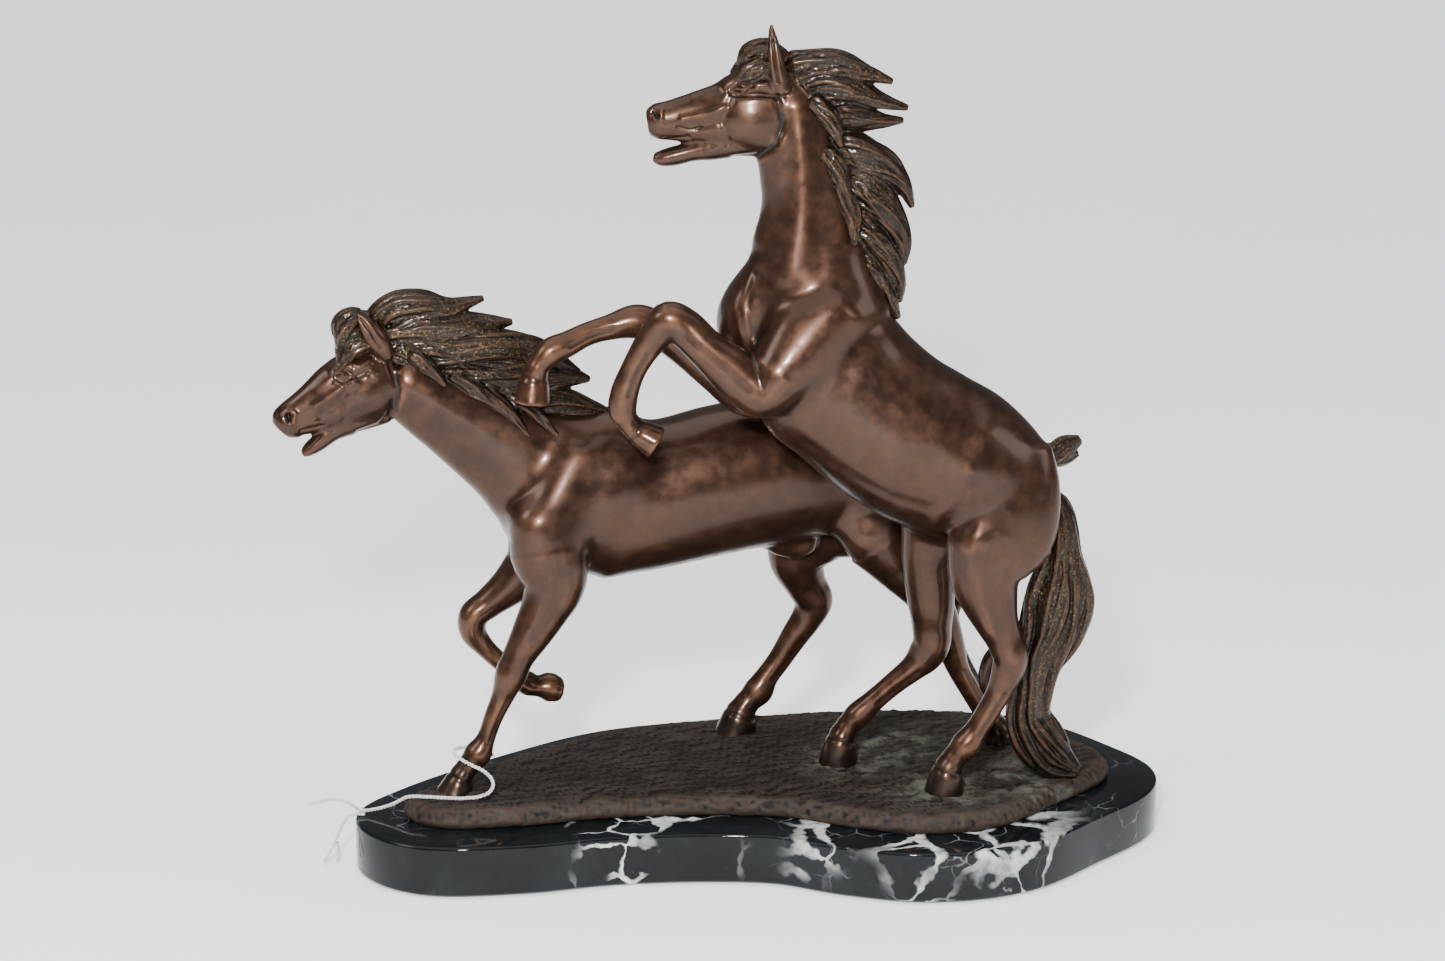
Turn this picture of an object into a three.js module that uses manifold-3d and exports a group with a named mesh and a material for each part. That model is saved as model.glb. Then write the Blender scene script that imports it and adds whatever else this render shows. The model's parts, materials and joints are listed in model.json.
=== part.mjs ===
// Bronze group of a running and a rearing horse on a bronze ground, bolted to a freeform marble base.
// Millimetres, +Z up. The origin is the middle of the flat underside that the group stands on.
import * as THREE from 'three';
import { mergeVertices } from 'three/addons/utils/BufferGeometryUtils.js';
import Module from 'manifold-3d';

const wasm = await Module();
wasm.setup();

// ---- driving dimensions -------------------------------------------------------------------------

const GROUP_HEIGHT = 354; // from the ground to the rearing horse's ear tips
const DRAWN_HEIGHT = 354; // the group height that the sections and outlines below are drawn at
const GROUND_THICKNESS = 8.7;
const RIM_SLOPE = 5; // how far the chiselled rim leans in from foot to top
const RIM_FOOT_INSET = 1; // how far the rim's foot draws in under its widest line
const RIM_WIDEST = 2.9; // height of the rim's widest line over its foot
const RIM_BREAK = 6.5; // height over its foot where the rim starts to round over
const CHISEL_DEPTH = 0.6; // depth of the two waves that roughen the rim
const CHISEL_WAVES = [24, 14]; // how many of each wave there are round the rim
const BASE_MARGIN = 23; // marble seen around the foot of the ground
const MARBLE_THICKNESS = 23.5;
const MARBLE_EDGE = 1.5; // softened edge of the marble
const FELT_THICKNESS = 1.2;
const FELT_INSET = 3; // felt short of the marble's edge
const STUD_DIAMETER = 6;
const STUD_GRIP = 5; // how far a stud screws into the ground
const STUD_END = 2.5; // height of a stud's lower end
const NUT_WIDTH = 10; // across flats
const NUT_HEIGHT = 5;
const WASHER_DIAMETER = 14;
const WASHER_THICKNESS = 1.6;
const RECESS_DIAMETER = 18; // recess in the marble around a nut
const RECESS_DEPTH = 10;
const HOLE_CLEARANCE = 0.8; // play of a stud in the marble, on the diameter
const THREAD_CLEARANCE = 0.6; // play of a stud in its nut, washer and the ground, on the diameter
const SEAM = 0.3; // gap between two pieces that touch
const STRING_DIAMETER = 1.8;

// ---- how finely round shapes are cut ------------------------------------------------------------

const OUTLINE_STEPS = 60;
const ROUND_SIDES = 14;
const FINE_ROWS = 2; // rows of facets from one section to the next on bodies, heads and locks
const LIMB_ROWS = 1; // the same on legs, whose sections lie close together
const BODY_SIDES = 16;
const HEAD_SIDES = 12;
const LIMB_SIDES = 8;
const LOCK_SIDES = 6;
const STRING_SIDES = 8;
const STRING_STEP = 3; // length of one straight stretch of the string's tube

// ---- levels that follow from the driving dimensions ---------------------------------------------

const SCALE = GROUP_HEIGHT / DRAWN_HEIGHT;
const MARBLE_BOTTOM = FELT_THICKNESS + SEAM;
const MARBLE_TOP = MARBLE_BOTTOM + MARBLE_THICKNESS;
const GROUND_BOTTOM = MARBLE_TOP + SEAM;
const GROUND_TOP = GROUND_BOTTOM + GROUND_THICKNESS;
const RECESS_TOP = MARBLE_BOTTOM + RECESS_DEPTH;
const WASHER_BOTTOM = RECESS_TOP - SEAM - WASHER_THICKNESS;
const NUT_BOTTOM = WASHER_BOTTOM - SEAM - NUT_HEIGHT;
const STUD_TOP = GROUND_BOTTOM + STUD_GRIP;

// Foot of the ground, anticlockwise from its left end, at the drawn height.
const GROUND_OUTLINE = [
  [-163, -55], [-149, -73], [-110, -72], [-72, -62], [-28, -57], [14, -60], [48, -75], [80, -82],
  [112, -73], [143, -41], [168, -10], [171, 8], [159, 31], [126, 69], [74, 78], [24, 73], [-28, 61],
  [-68, 47], [-102, 20], [-150, -31],
];
const STUD_PLACES = [[-120, -40], [10, 0], [110, -12]];

// Where each horse stands: a point on its own middle plane, and the turn of that plane.
const RUNNING = { place: [0, 16], turn: 0.243 };
const REARING = { place: [0, -27], turn: 0 };

// ---- sections of the horses ---------------------------------------------------------------------
// Each row is one section across a casting, in the horse's own frame at the drawn height:
// place along the horse (nose negative), height over the ground, half depth, half breadth, and
// how far the section sits to the horse's left. Rows run from one end of the casting to the other.

const RUNNING_TORSO = [
  [-121, 118, 9, 10, 0], [-115, 120, 21, 19, 0], [-101, 125, 31, 25, 0], [-80, 131, 41, 29, 0],
  [-51, 130, 36, 31, 0], [-26, 134, 36, 32, 0], [2, 138, 36, 32, 0], [32, 141, 35, 30, 0],
  [57, 140, 33, 28, 0], [80, 137, 27, 24, 0], [94, 136, 18, 16, 0], [102, 136, 7, 7, 0],
];
const RUNNING_NECK = [
  [-172, 196, 15, 9, 0], [-162, 187.5, 17.5, 11, 0], [-139, 171, 21.5, 14, 0], [-118, 156.5, 26.5, 18, 0],
  [-102, 146, 33, 22, 0], [-87, 136, 38, 26, 0],
];
const RUNNING_SKULL = [
  [-171, 193, 13, 8, 0], [-178, 192, 17, 10, 0], [-188, 189, 18, 10.5, 0], [-198, 185, 16, 9.5, 0],
  [-207, 181, 12.5, 8, 0], [-214, 178, 10, 7, 0], [-218, 176, 9, 6.5, 0], [-221.5, 173, 8, 6.5, 0],
  [-223.5, 171, 5, 5, 0],
];
const RUNNING_JAW = [
  [-178, 182, 11, 7, 0], [-191, 175, 8, 6.5, 0], [-200, 169.5, 5, 5.5, 0], [-207, 164, 4, 5, 0],
  [-211.5, 161, 3, 4.5, 0], [-214, 159, 1.5, 3, 0],
];
const RUNNING_EAR = [[-176, 207, 4, 4, 7], [-182, 217, 3.5, 3.5, 8], [-188, 225, 1, 1, 9]];
const RUNNING_LEFT_FORELEG = [
  [-83, 157, 16, 8, 15], [-95, 132, 19, 12, 18], [-104, 112, 18, 14, 21], [-102, 97, 15, 13, 23],
  [-106, 86, 12, 11, 24], [-113.5, 73, 9.5, 9, 25], [-120, 62, 7.5, 7.5, 25], [-123.5, 54, 7.5, 8, 25],
  [-127, 45, 5.5, 6, 25], [-132, 34, 4.5, 5, 25], [-136, 23.5, 4.5, 5, 25], [-139.5, 17, 6.5, 6.5, 25],
  [-144.5, 11, 5, 5.5, 25], [-148, 6, 6, 7, 25], [-151, -3, 9.5, 9.5, 25],
];
const RUNNING_RIGHT_FORELEG = [
  [-86, 140, 16, 8, -15], [-97, 109, 18, 12, -18], [-106, 92, 13, 12, -20], [-116, 83, 9.5, 9.5, -21],
  [-125.5, 75.5, 7.5, 8, -22], [-133, 69.5, 7, 8, -22], [-133, 62, 6.5, 7, -22], [-128, 54.5, 5, 5, -21],
  [-121, 47, 4.5, 5, -20], [-113.5, 39.5, 4.5, 5, -20], [-107, 34.5, 6, 6.5, -20],
  [-103, 33, 5, 6.5, -20], [-98.5, 32.5, 6.5, 7, -20], [-94, 31, 7, 8, -20], [-91, 30, 5, 7, -20],
];
const RUNNING_LEFT_HINDLEG = [
  [60, 152, 24, 10, 8], [58, 123, 28, 15, 12], [60, 107, 20, 15, 15], [72, 91, 15.5, 12, 17],
  [82, 76, 11, 10.5, 18], [89, 61, 8.5, 9, 19], [93.5, 49, 7, 8, 19], [97, 39, 5.5, 6.5, 19],
  [103, 28, 5, 5.5, 19], [109, 18, 5, 5.5, 19], [113, 13, 6.5, 6.5, 19], [116, 9, 5.5, 6, 19],
  [118, 5, 7.5, 8, 19], [119, -3, 9.5, 9.5, 19],
];
const RUNNING_RIGHT_HINDLEG = [
  [59, 145, 24, 10, -10], [47, 117, 27, 14, -14], [31, 100, 23, 13, -18], [27.5, 87, 14.5, 11.5, -21],
  [32, 74.5, 10.5, 9, -23], [36.5, 65, 9.5, 8.5, -24], [33.5, 56.5, 8, 7.5, -25], [27, 47, 7, 6, -25],
  [19.5, 35, 6, 5.2, -26], [13, 26.5, 6, 5.5, -26], [9, 20, 7.5, 6.5, -26], [3, 14, 6, 6, -26],
  [0, 9, 8, 8, -26], [-3, -3, 11, 10, -26],
];
const RUNNING_TAIL = [
  [
    [90, 148, 7, 8, 0], [106, 149, 7, 8, -2], [122, 147, 7, 7, -4], [137, 141, 6.5, 6, -5],
    [151, 136, 6, 5, -6], [158.5, 139.5, 6, 4, -6], [166, 143, 2, 1.5, -6],
  ],
  [[144, 137, 4, 4, -6], [156, 134, 4, 4, -6], [165, 136, 1, 1.5, -6]],
  [
    [98, 142, 7, 8, 0], [113, 118, 7, 8, 2], [115, 95, 6, 8, 3], [106, 79, 5.5, 7, 4],
    [97, 65, 4.5, 6, 6], [97, 52, 4.5, 6, 8], [102.5, 39, 4, 5, 9], [110, 26, 3, 4, 9], [117, 16, 1, 2, 8],
  ],
];
const RUNNING_MANE = [
  [[-182, 226, 6.5, 5, 0], [-167, 227, 6.5, 8, 2], [-149, 225, 5, 7, 2], [-129, 227.5, 1, 1.5, 2]],
  [[-180, 214, 7, 6, 0], [-158, 215, 10, 9, 2], [-138, 216, 7, 8, 3], [-116, 217, 1, 1.5, 3]],
  [
    [-170, 209, 7, 6, 2], [-149, 206, 10, 9, 3], [-124, 206, 9, 9, 4], [-104, 202, 6, 7, 4],
    [-85, 192, 1, 1.5, 4],
  ],
  [
    [-154, 198, 8, 7, 3], [-131, 193, 10, 9, 4], [-106, 192, 9, 9, 4], [-90, 190, 5, 6, 3],
    [-80, 188, 1, 1.5, 3],
  ],
  [
    [-138, 188, 8, 7, 3], [-117, 182, 9, 9, 4], [-96, 179, 8, 9, 3], [-80, 174, 4.5, 6, 2],
    [-66, 168.5, 1, 1.5, 1],
  ],
  [[-146, 196, 5, 7, 7], [-133, 186, 4, 5, 10], [-123, 177, 1, 1.5, 13]],
];
const RUNNING_FORELOCK = [
  [[-182, 217, 8, 6, 0], [-189.5, 218, 7, 7, 2], [-194, 214.5, 5, 6, 3], [-196.5, 209, 1, 1.5, 3]],
  [[-185, 221, 4.5, 6, 0], [-191.5, 222, 4, 6, -2], [-195.5, 218, 3, 5, -3], [-197, 213, 1, 1.5, -3]],
];
const REARING_TORSO = [
  [0, 213, 9, 10, 0], [9, 213, 23, 19, 0], [19, 207, 34, 25, 0], [31, 198, 39, 29, 0],
  [46, 184, 38, 30, 0], [62, 170.5, 38, 31, 0], [80, 160, 38, 31, 0], [96, 154, 35.5, 29, 0],
  [111, 147, 30, 27, 0], [125, 139, 22, 22, 0], [135, 132.5, 11, 13, 0], [141, 131, 4, 5, 0],
];
const REARING_BREAST = [
  [5.5, 250, 6, 10, 0], [1, 239.5, 9, 15, -2], [-2.5, 228, 13, 19, -4], [-5, 217, 13.5, 20, -5],
  [-1.5, 207, 11, 19, -5], [4, 199.5, 7, 12, -4],
];
const REARING_NECK = [
  [10, 333, 7, 6, 0], [14, 322, 13, 9, 0], [16, 309, 18.5, 11, 0], [20, 291, 19.5, 12.5, 0],
  [23, 273, 21.5, 14, 0], [23.5, 254.5, 26.5, 17, 0], [25, 236, 30.5, 21, 0], [30, 217, 34, 26, 0],
];
const REARING_SKULL = [
  [18, 321.5, 9, 7, 0], [13, 318.5, 17, 9.5, 0], [4, 317, 21.5, 11, 0], [-5, 315.5, 19.5, 11, 0],
  [-15.5, 313.5, 15, 9.5, 0], [-29, 312.5, 11.5, 7.5, 0], [-39.5, 311.5, 9, 7, 0],
  [-45.5, 311, 8, 6.5, 0], [-49, 310.5, 5.5, 4.5, 0],
];
const REARING_JAW = [
  [2, 307, 12, 7.5, 0], [-9.5, 303.5, 9, 7, 0], [-20, 299.5, 6, 6, 0], [-29, 297.5, 4.5, 5, 0],
  [-37, 295.5, 4.5, 5, 0], [-43.5, 294.5, 3.5, 4.5, 0], [-46.5, 295, 2, 3, 0],
];
const REARING_EAR = [[12, 325, 4, 4, 7], [8.5, 338.5, 4, 4, 8], [6.5, 354, 0.8, 1, 8]];
const REARING_LEFT_FORELEG = [
  [41, 230, 14.5, 8, 17], [25, 214, 20, 12, 19], [11.5, 200.5, 16, 14, 21], [3.5, 191, 12, 13, 22],
  [-5, 196, 11.5, 12, 23], [-11, 202, 11, 10.5, 24], [-23, 212.5, 9, 9.5, 24], [-32.5, 221.5, 9, 8.5, 23],
  [-39.5, 225, 8.5, 8.5, 23], [-45.5, 217.5, 7.5, 7, 22], [-51, 209.5, 6.5, 5.5, 21],
  [-56, 200, 6, 5.5, 19], [-59.5, 190.5, 6.5, 6, 18], [-60.5, 181.5, 6.5, 6.5, 17], [-57, 175, 5, 6, 16],
  [-54, 172, 6, 7, 16], [-45, 166.5, 8, 9, 16],
];
const REARING_RIGHT_FORELEG = [
  [39, 221, 15, 8, -17], [23, 204, 19.5, 12, -20], [9, 187.5, 16, 13, -19], [-3.5, 182, 11, 12, -17],
  [-17.5, 192.5, 9.5, 10, -13], [-34, 207, 8.5, 9, -7], [-48, 217.5, 8, 8.5, -2], [-55, 219.5, 8, 8, 0],
  [-66.5, 217.5, 6, 6, 3], [-76.5, 215, 5.5, 5.2, 6], [-85.5, 211, 6, 6, 9], [-93.5, 207.5, 6.5, 6.5, 11],
  [-99, 201, 5, 6, 12], [-100.5, 196.5, 6.5, 7, 12], [-102, 184, 8.5, 9, 13],
];
const REARING_LEFT_HINDLEG = [
  [114, 165, 22, 10, 8], [114, 143, 26.5, 14, 12], [113, 124.5, 25.5, 14, 15], [108, 112.5, 21, 13, 17],
  [106, 102.5, 17, 12, 18], [108, 92, 13.5, 11, 18], [111, 83, 10.5, 9.5, 19], [115, 73.5, 8.5, 8.3, 19],
  [118, 65.5, 8.5, 8.5, 19], [116.5, 58, 7.5, 7.5, 19], [113, 48.5, 6, 6, 19], [107.5, 38, 5.5, 5.5, 19],
  [102.5, 29.5, 5.5, 5.5, 19], [98, 22.5, 7, 7, 19], [93, 16.5, 5.5, 6.2, 19], [90, 11, 7, 8, 19],
  [88, -3, 10, 10, 19],
];
const REARING_RIGHT_HINDLEG = [
  [102, 161, 22, 10, -8], [93, 131, 24.5, 14, -12], [85, 116, 18, 13, -15], [81.5, 103.5, 13, 12, -17],
  [82.5, 91, 12, 11, -18], [83.5, 78.5, 11, 10.5, -19], [84, 68, 9.5, 9, -20], [84, 60, 9, 8.5, -20],
  [80.5, 53, 8.5, 8, -21], [75.5, 47.5, 6.5, 7, -21], [66, 39, 5.5, 5.5, -22], [56.5, 30, 5.5, 5.5, -23],
  [49, 22.5, 6.5, 6.5, -23], [44.5, 17, 5.5, 6, -23], [42, 12, 7, 8, -23], [40, -3, 10, 10, -23],
];
const REARING_TAIL = [
  [
    [132, 142, 6, 7, 0], [141, 127.5, 7, 9, 0], [142.5, 111, 9.5, 11, 0], [142, 91.5, 16.5, 13, 0],
    [138.5, 74.5, 15, 13, 0], [132.5, 60, 12, 12, 0], [130, 44, 9.5, 11, 0], [128.5, 31, 10.5, 10, 0],
    [133, 20, 12.5, 11, 0], [140, 10, 11, 9, 0], [152, 3, 3, 4, 0],
  ],
  [
    [134, 74, 6, 7, -2], [121, 65, 5, 6, -4], [111, 56, 4, 5, -5], [109, 45.5, 3.5, 4, -5],
    [113, 34, 1, 2, -5],
  ],
];
const REARING_MANE = [
  [[13, 334, 8, 6, 0], [33, 337, 6.5, 7, 0], [48.5, 333, 4, 5, 1], [61, 329, 1, 1.5, 1]],
  [[19, 326, 8, 7, 0], [37.5, 327, 8, 8, 1], [53, 321.5, 4.5, 5, 2], [68, 317.5, 1, 1.5, 2]],
  [[23, 313, 8, 7, 0], [40, 314, 8, 8, 1], [54.5, 312, 4, 5, 2], [66, 312, 1, 1.5, 2]],
  [
    [29, 303, 8, 7, 0], [44.5, 298, 9, 8, 2], [58, 291.5, 7, 7, 2], [66, 283, 4, 5, 2],
    [70.5, 272.5, 1, 1.5, 2],
  ],
  [
    [36, 289, 8, 7, 0], [49.5, 281, 9, 8, 2], [59.5, 269.5, 7, 7, 2], [66, 257, 4.5, 5, 2],
    [67, 246.5, 1, 1.5, 2],
  ],
  [[42, 271, 8, 7, 0], [53, 259.5, 8, 8, 1], [61, 247, 6, 6, 2], [65, 238, 3, 4, 2], [65.5, 229, 1, 1.5, 1]],
  [[46, 252, 7, 6, 0], [55.5, 240, 6.5, 7, 0], [61, 229, 4, 5, 0], [65, 221, 1, 1.5, 0]],
];
const REARING_FORELOCK = [
  [[12, 337, 6, 6, 0], [4, 343, 5, 6, 2], [-4, 342, 4, 5, 3], [-8, 337, 1, 1.5, 3]],
];

// The string's route, chosen by hand: round the pastern, over the ground and the marble's edge.
const STRING_LEAD = [
  [-122.5, -38, 48.5], [-129.5, -33, 50.5], [-137.5, -36, 52], [-140.5, -43.8, 52.8], [-137.6, -50.6, 51.8],
  [-131.8, -53.6, 49.4], [-126.2, -54, 46.6], [-122.6, -55.8, 43.8], [-121.4, -59, 41.2], [-122.9, -62.2, 39.2],
  [-127, -63.8, 37.6], [-134, -63.2, 36.5], [-142.5, -61.5, 36], [-152, -59.8, 35.9], [-161, -58.5, 35.4],
  [-168, -57, 31.5], [-176, -55, 28.3], [-184, -53, 27], [-190, -51.5, 30], [-197, -50.5, 31.2],
  [-208, -50, 28.6],
];
const STRING_END = [
  [-181.5, -56.4, 26.3], [-186, -56.6, 26.3], [-189.8, -56.4, 24.6], [-192.3, -56.2, 20], [-195.6, -56.8, 13],
  [-200.8, -58.6, 3],
];
const STRING_TIP = [[-195, -54.4, 12], [-194.6, -54.6, 7], [-195, -55.2, 2.5]];

// ---- solids -------------------------------------------------------------------------------------

function solidOf(geometry) {
  const bare = geometry.index ? geometry.toNonIndexed() : geometry.clone();
  bare.deleteAttribute('normal');
  bare.deleteAttribute('uv');
  const merged = mergeVertices(bare);
  return new wasm.Manifold(new wasm.Mesh({
    numProp: 3,
    vertProperties: new Float32Array(merged.attributes.position.array),
    triVerts: new Uint32Array(merged.index.array),
  }));
}

function meshOf(name, solid, material, place = [0, 0, 0]) {
  const { vertProperties, triVerts } = solid.getMesh();
  const geometry = new THREE.BufferGeometry();
  geometry.setAttribute('position', new THREE.BufferAttribute(vertProperties, 3));
  geometry.setIndex(new THREE.BufferAttribute(triVerts, 1));
  geometry.computeVertexNormals();
  const mesh = new THREE.Mesh(geometry, material);
  mesh.name = name;
  mesh.position.set(...place);
  return mesh;
}

function joined(solids) {
  return solids.reduce((whole, solid) => whole.add(solid));
}

// The biggest single body of a solid, which drops the slivers that a cut leaves.
function mainBody(solid) {
  return solid.decompose().reduce((best, body) => (body.volume() > best.volume() ? body : best));
}

// A unit cylinder bent along the sections' middles, each ring given its section's size.
function loft(sections, sides, rows, grow) {
  const drawn = (...numbers) => new THREE.Vector3(...numbers).multiplyScalar(SCALE);
  const middles = sections.map(([along, up, , , left]) => drawn(along, -left, up));
  const sizes = sections.map(([, , depth, breadth]) => drawn(depth, breadth, 0));
  const path = new THREE.CatmullRomCurve3(middles, false, 'centripetal');
  const size = new THREE.CatmullRomCurve3(sizes, false, 'centripetal');
  const geometry = new THREE.CylinderGeometry(1, 1, 1, sides, (sections.length - 1) * rows);
  const vertices = geometry.attributes.position;
  const vertex = new THREE.Vector3();
  for (let i = 0; i < vertices.count; i += 1) {
    vertex.fromBufferAttribute(vertices, i);
    const share = vertex.y + 0.5;
    const forward = path.getTangent(share);
    const across = new THREE.Vector3(0, 1, 0).addScaledVector(forward, -forward.y).normalize();
    const outward = new THREE.Vector3().crossVectors(across, forward);
    const radii = size.getPoint(share);
    const endShift = grow * (Math.floor(share) - Math.floor(1 - share));
    const point = path.getPoint(share)
      .addScaledVector(forward, endShift)
      .addScaledVector(across, vertex.x * (radii.y + grow))
      .addScaledVector(outward, vertex.z * (radii.x + grow));
    vertices.setXYZ(i, point.x, point.y, point.z);
  }
  return solidOf(geometry);
}

// A casting keeps its true solid and a slightly fatter one that its neighbours are cut with.
function casting(lofts, sides, rows = FINE_ROWS) {
  return {
    solid: joined(lofts.map((sections) => loft(sections, sides, rows, 0))),
    fat: joined(lofts.map((sections) => loft(sections, sides, rows, SEAM))),
  };
}

function merged(...castings) {
  return {
    solid: joined(castings.map((each) => each.solid)),
    fat: joined(castings.map((each) => each.fat)),
  };
}

function mirrored(sections) {
  return sections.map(([along, up, depth, breadth, left]) => [along, up, depth, breadth, -left]);
}

function cleared(piece, ...neighbours) {
  const cut = (rest, neighbour) => rest.subtract(neighbour.fat).subtract(neighbour.solid);
  const solid = neighbours.reduce(cut, piece.solid);
  return { solid: mainBody(solid), fat: piece.fat };
}

// A hoof ends flat on the ground.
function standing(piece) {
  return { solid: piece.solid.trimByPlane([0, 0, 1], SEAM), fat: piece.fat };
}

// ---- base ---------------------------------------------------------------------------------------

const OUTLINE_CURVE = new THREE.CatmullRomCurve3(
  GROUND_OUTLINE.map(([x, y]) => new THREE.Vector3(x, y, 0).multiplyScalar(SCALE)),
  true,
  'centripetal',
);

// A slab whose side is given by rows of [height, distance outside the ground's foot].
function slab(rows, chiselDepth = 0) {
  const geometry = new THREE.CylinderGeometry(1, 1, 1, OUTLINE_STEPS, rows.length - 1);
  const vertices = geometry.attributes.position;
  const spread = new THREE.Vector3();
  for (let i = 0; i < vertices.count; i += 1) {
    const ring = Math.round((vertices.getY(i) + 0.5) * (rows.length - 1));
    const [height, outside] = rows[ring];
    if (Math.hypot(vertices.getX(i), vertices.getZ(i)) < 0.5) {
      vertices.setXYZ(i, 0, 0, height);
      continue;
    }
    const share = (Math.atan2(-vertices.getZ(i), vertices.getX(i)) / (2 * Math.PI) + 1) % 1;
    const tangent = OUTLINE_CURVE.getTangent(share);
    spread.set(tangent.y, -tangent.x, 0);
    const [fine, coarse] = CHISEL_WAVES.map((waves) => 2 * Math.PI * waves * share);
    const chisel = chiselDepth * (Math.sin(fine + 2 * ring) + Math.sin(coarse - ring));
    const point = OUTLINE_CURVE.getPoint(share).addScaledVector(spread, outside + chisel);
    vertices.setXYZ(i, point.x, point.y, height);
  }
  return solidOf(geometry);
}

function upright(geometry, bottom, height, place = [0, 0]) {
  geometry.rotateX(Math.PI / 2);
  geometry.translate(place[0], place[1], bottom + height / 2);
  return solidOf(geometry);
}

function disc(diameter, bottom, height, place) {
  const geometry = new THREE.CylinderGeometry(diameter / 2, diameter / 2, height, ROUND_SIDES);
  return upright(geometry, bottom, height, place);
}

const studPlaces = STUD_PLACES.map(([x, y]) => [x * SCALE, y * SCALE]);

function makeMarble() {
  const blank = slab([
    [MARBLE_BOTTOM, BASE_MARGIN - MARBLE_EDGE],
    [MARBLE_BOTTOM + MARBLE_EDGE, BASE_MARGIN],
    [MARBLE_TOP - MARBLE_EDGE, BASE_MARGIN],
    [MARBLE_TOP, BASE_MARGIN - MARBLE_EDGE],
  ]);
  return studPlaces.reduce((rest, place) => rest
    .subtract(disc(STUD_DIAMETER + HOLE_CLEARANCE, 0, GROUND_TOP, place))
    .subtract(disc(RECESS_DIAMETER, 0, RECESS_TOP, place)), blank);
}

function makeFelt() {
  const reach = BASE_MARGIN - MARBLE_EDGE - FELT_INSET;
  return slab([[0, reach], [FELT_THICKNESS, reach]]);
}

function makeGround() {
  const blank = slab([
    [GROUND_BOTTOM, -RIM_FOOT_INSET],
    [GROUND_BOTTOM + RIM_WIDEST, 0],
    [GROUND_BOTTOM + RIM_BREAK, -RIM_SLOPE / 2],
    [GROUND_TOP, -RIM_SLOPE],
  ], CHISEL_DEPTH);
  return studPlaces.reduce((rest, place) => rest
    .subtract(disc(STUD_DIAMETER + THREAD_CLEARANCE, 0, STUD_TOP + SEAM, place)), blank);
}

function makeStud() {
  return disc(STUD_DIAMETER, 0, STUD_TOP - STUD_END);
}

function makeWasher() {
  const hole = disc(STUD_DIAMETER + THREAD_CLEARANCE, -WASHER_THICKNESS, 3 * WASHER_THICKNESS);
  return disc(WASHER_DIAMETER, 0, WASHER_THICKNESS).subtract(hole);
}

function makeNut() {
  const radius = NUT_WIDTH / 2 / Math.cos(Math.PI / 6);
  const hexagon = upright(new THREE.CylinderGeometry(radius, radius, NUT_HEIGHT, 6), 0, NUT_HEIGHT);
  return hexagon.subtract(disc(STUD_DIAMETER + THREAD_CLEARANCE, -NUT_HEIGHT, 3 * NUT_HEIGHT));
}

// ---- horses -------------------------------------------------------------------------------------

function makeHead(skull, jaw, ear, body) {
  const bones = casting([skull, jaw], HEAD_SIDES);
  const ears = casting([ear, mirrored(ear)], LOCK_SIDES);
  return cleared(merged(bones, ears), body);
}

function makeHorse(shape, others) {
  const body = cleared(casting([...shape.torsoParts, shape.neck], BODY_SIDES), ...others);
  const head = makeHead(shape.skull, shape.jaw, shape.ear, body);
  const limb = (sections, ...nearby) => {
    const leg = standing(casting([sections], LIMB_SIDES, LIMB_ROWS));
    return cleared(leg, body, ...nearby, ...others);
  };
  const leftForeleg = limb(shape.leftForeleg);
  const rightForeleg = limb(shape.rightForeleg, leftForeleg);
  const leftHindleg = limb(shape.leftHindleg);
  const rightHindleg = limb(shape.rightHindleg, leftHindleg);
  const hair = (locks, ...nearby) => {
    const lock = standing(casting(locks, LOCK_SIDES));
    return cleared(lock, body, ...nearby, ...others);
  };
  const mane = hair(shape.mane, head);
  return {
    body,
    head,
    left_foreleg: leftForeleg,
    right_foreleg: rightForeleg,
    left_hindleg: leftHindleg,
    right_hindleg: rightHindleg,
    mane,
    forelock: hair(shape.forelock, head, mane),
    tail: hair(shape.tail, leftHindleg, rightHindleg),
  };
}

function frameOf({ place, turn }) {
  const frame = new THREE.Matrix4().makeRotationZ(turn);
  return frame.setPosition(place[0] * SCALE, place[1] * SCALE, GROUND_TOP);
}

// The rearing horse's castings seen from the running horse's own frame, to cut its castings with.
function seenFrom(castings, own, viewer) {
  const move = frameOf(viewer).invert().multiply(frameOf(own)).elements;
  return Object.values(castings).map(({ solid, fat }) => ({
    solid: solid.transform(move),
    fat: fat.transform(move),
  }));
}

function horseGroup(name, castings, stance, materials) {
  const group = new THREE.Group();
  frameOf(stance).decompose(group.position, group.quaternion, group.scale);
  for (const [part, { solid }] of Object.entries(castings)) {
    const isHair = ['mane', 'forelock', 'tail'].includes(part);
    group.add(meshOf(`${name}_${part}`, solid, isHair ? materials.hair : materials.bronze));
  }
  return group;
}

const rearing = makeHorse({
  torsoParts: [REARING_TORSO, REARING_BREAST],
  neck: REARING_NECK,
  skull: REARING_SKULL,
  jaw: REARING_JAW,
  ear: REARING_EAR,
  leftForeleg: REARING_LEFT_FORELEG,
  rightForeleg: REARING_RIGHT_FORELEG,
  leftHindleg: REARING_LEFT_HINDLEG,
  rightHindleg: REARING_RIGHT_HINDLEG,
  mane: REARING_MANE,
  forelock: REARING_FORELOCK,
  tail: REARING_TAIL,
}, []);

const running = makeHorse({
  torsoParts: [RUNNING_TORSO],
  neck: RUNNING_NECK,
  skull: RUNNING_SKULL,
  jaw: RUNNING_JAW,
  ear: RUNNING_EAR,
  leftForeleg: RUNNING_LEFT_FORELEG,
  rightForeleg: RUNNING_RIGHT_FORELEG,
  leftHindleg: RUNNING_LEFT_HINDLEG,
  rightHindleg: RUNNING_RIGHT_HINDLEG,
  mane: RUNNING_MANE,
  forelock: RUNNING_FORELOCK,
  tail: RUNNING_TAIL,
}, seenFrom(rearing, REARING, RUNNING));

// ---- string -------------------------------------------------------------------------------------

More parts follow.
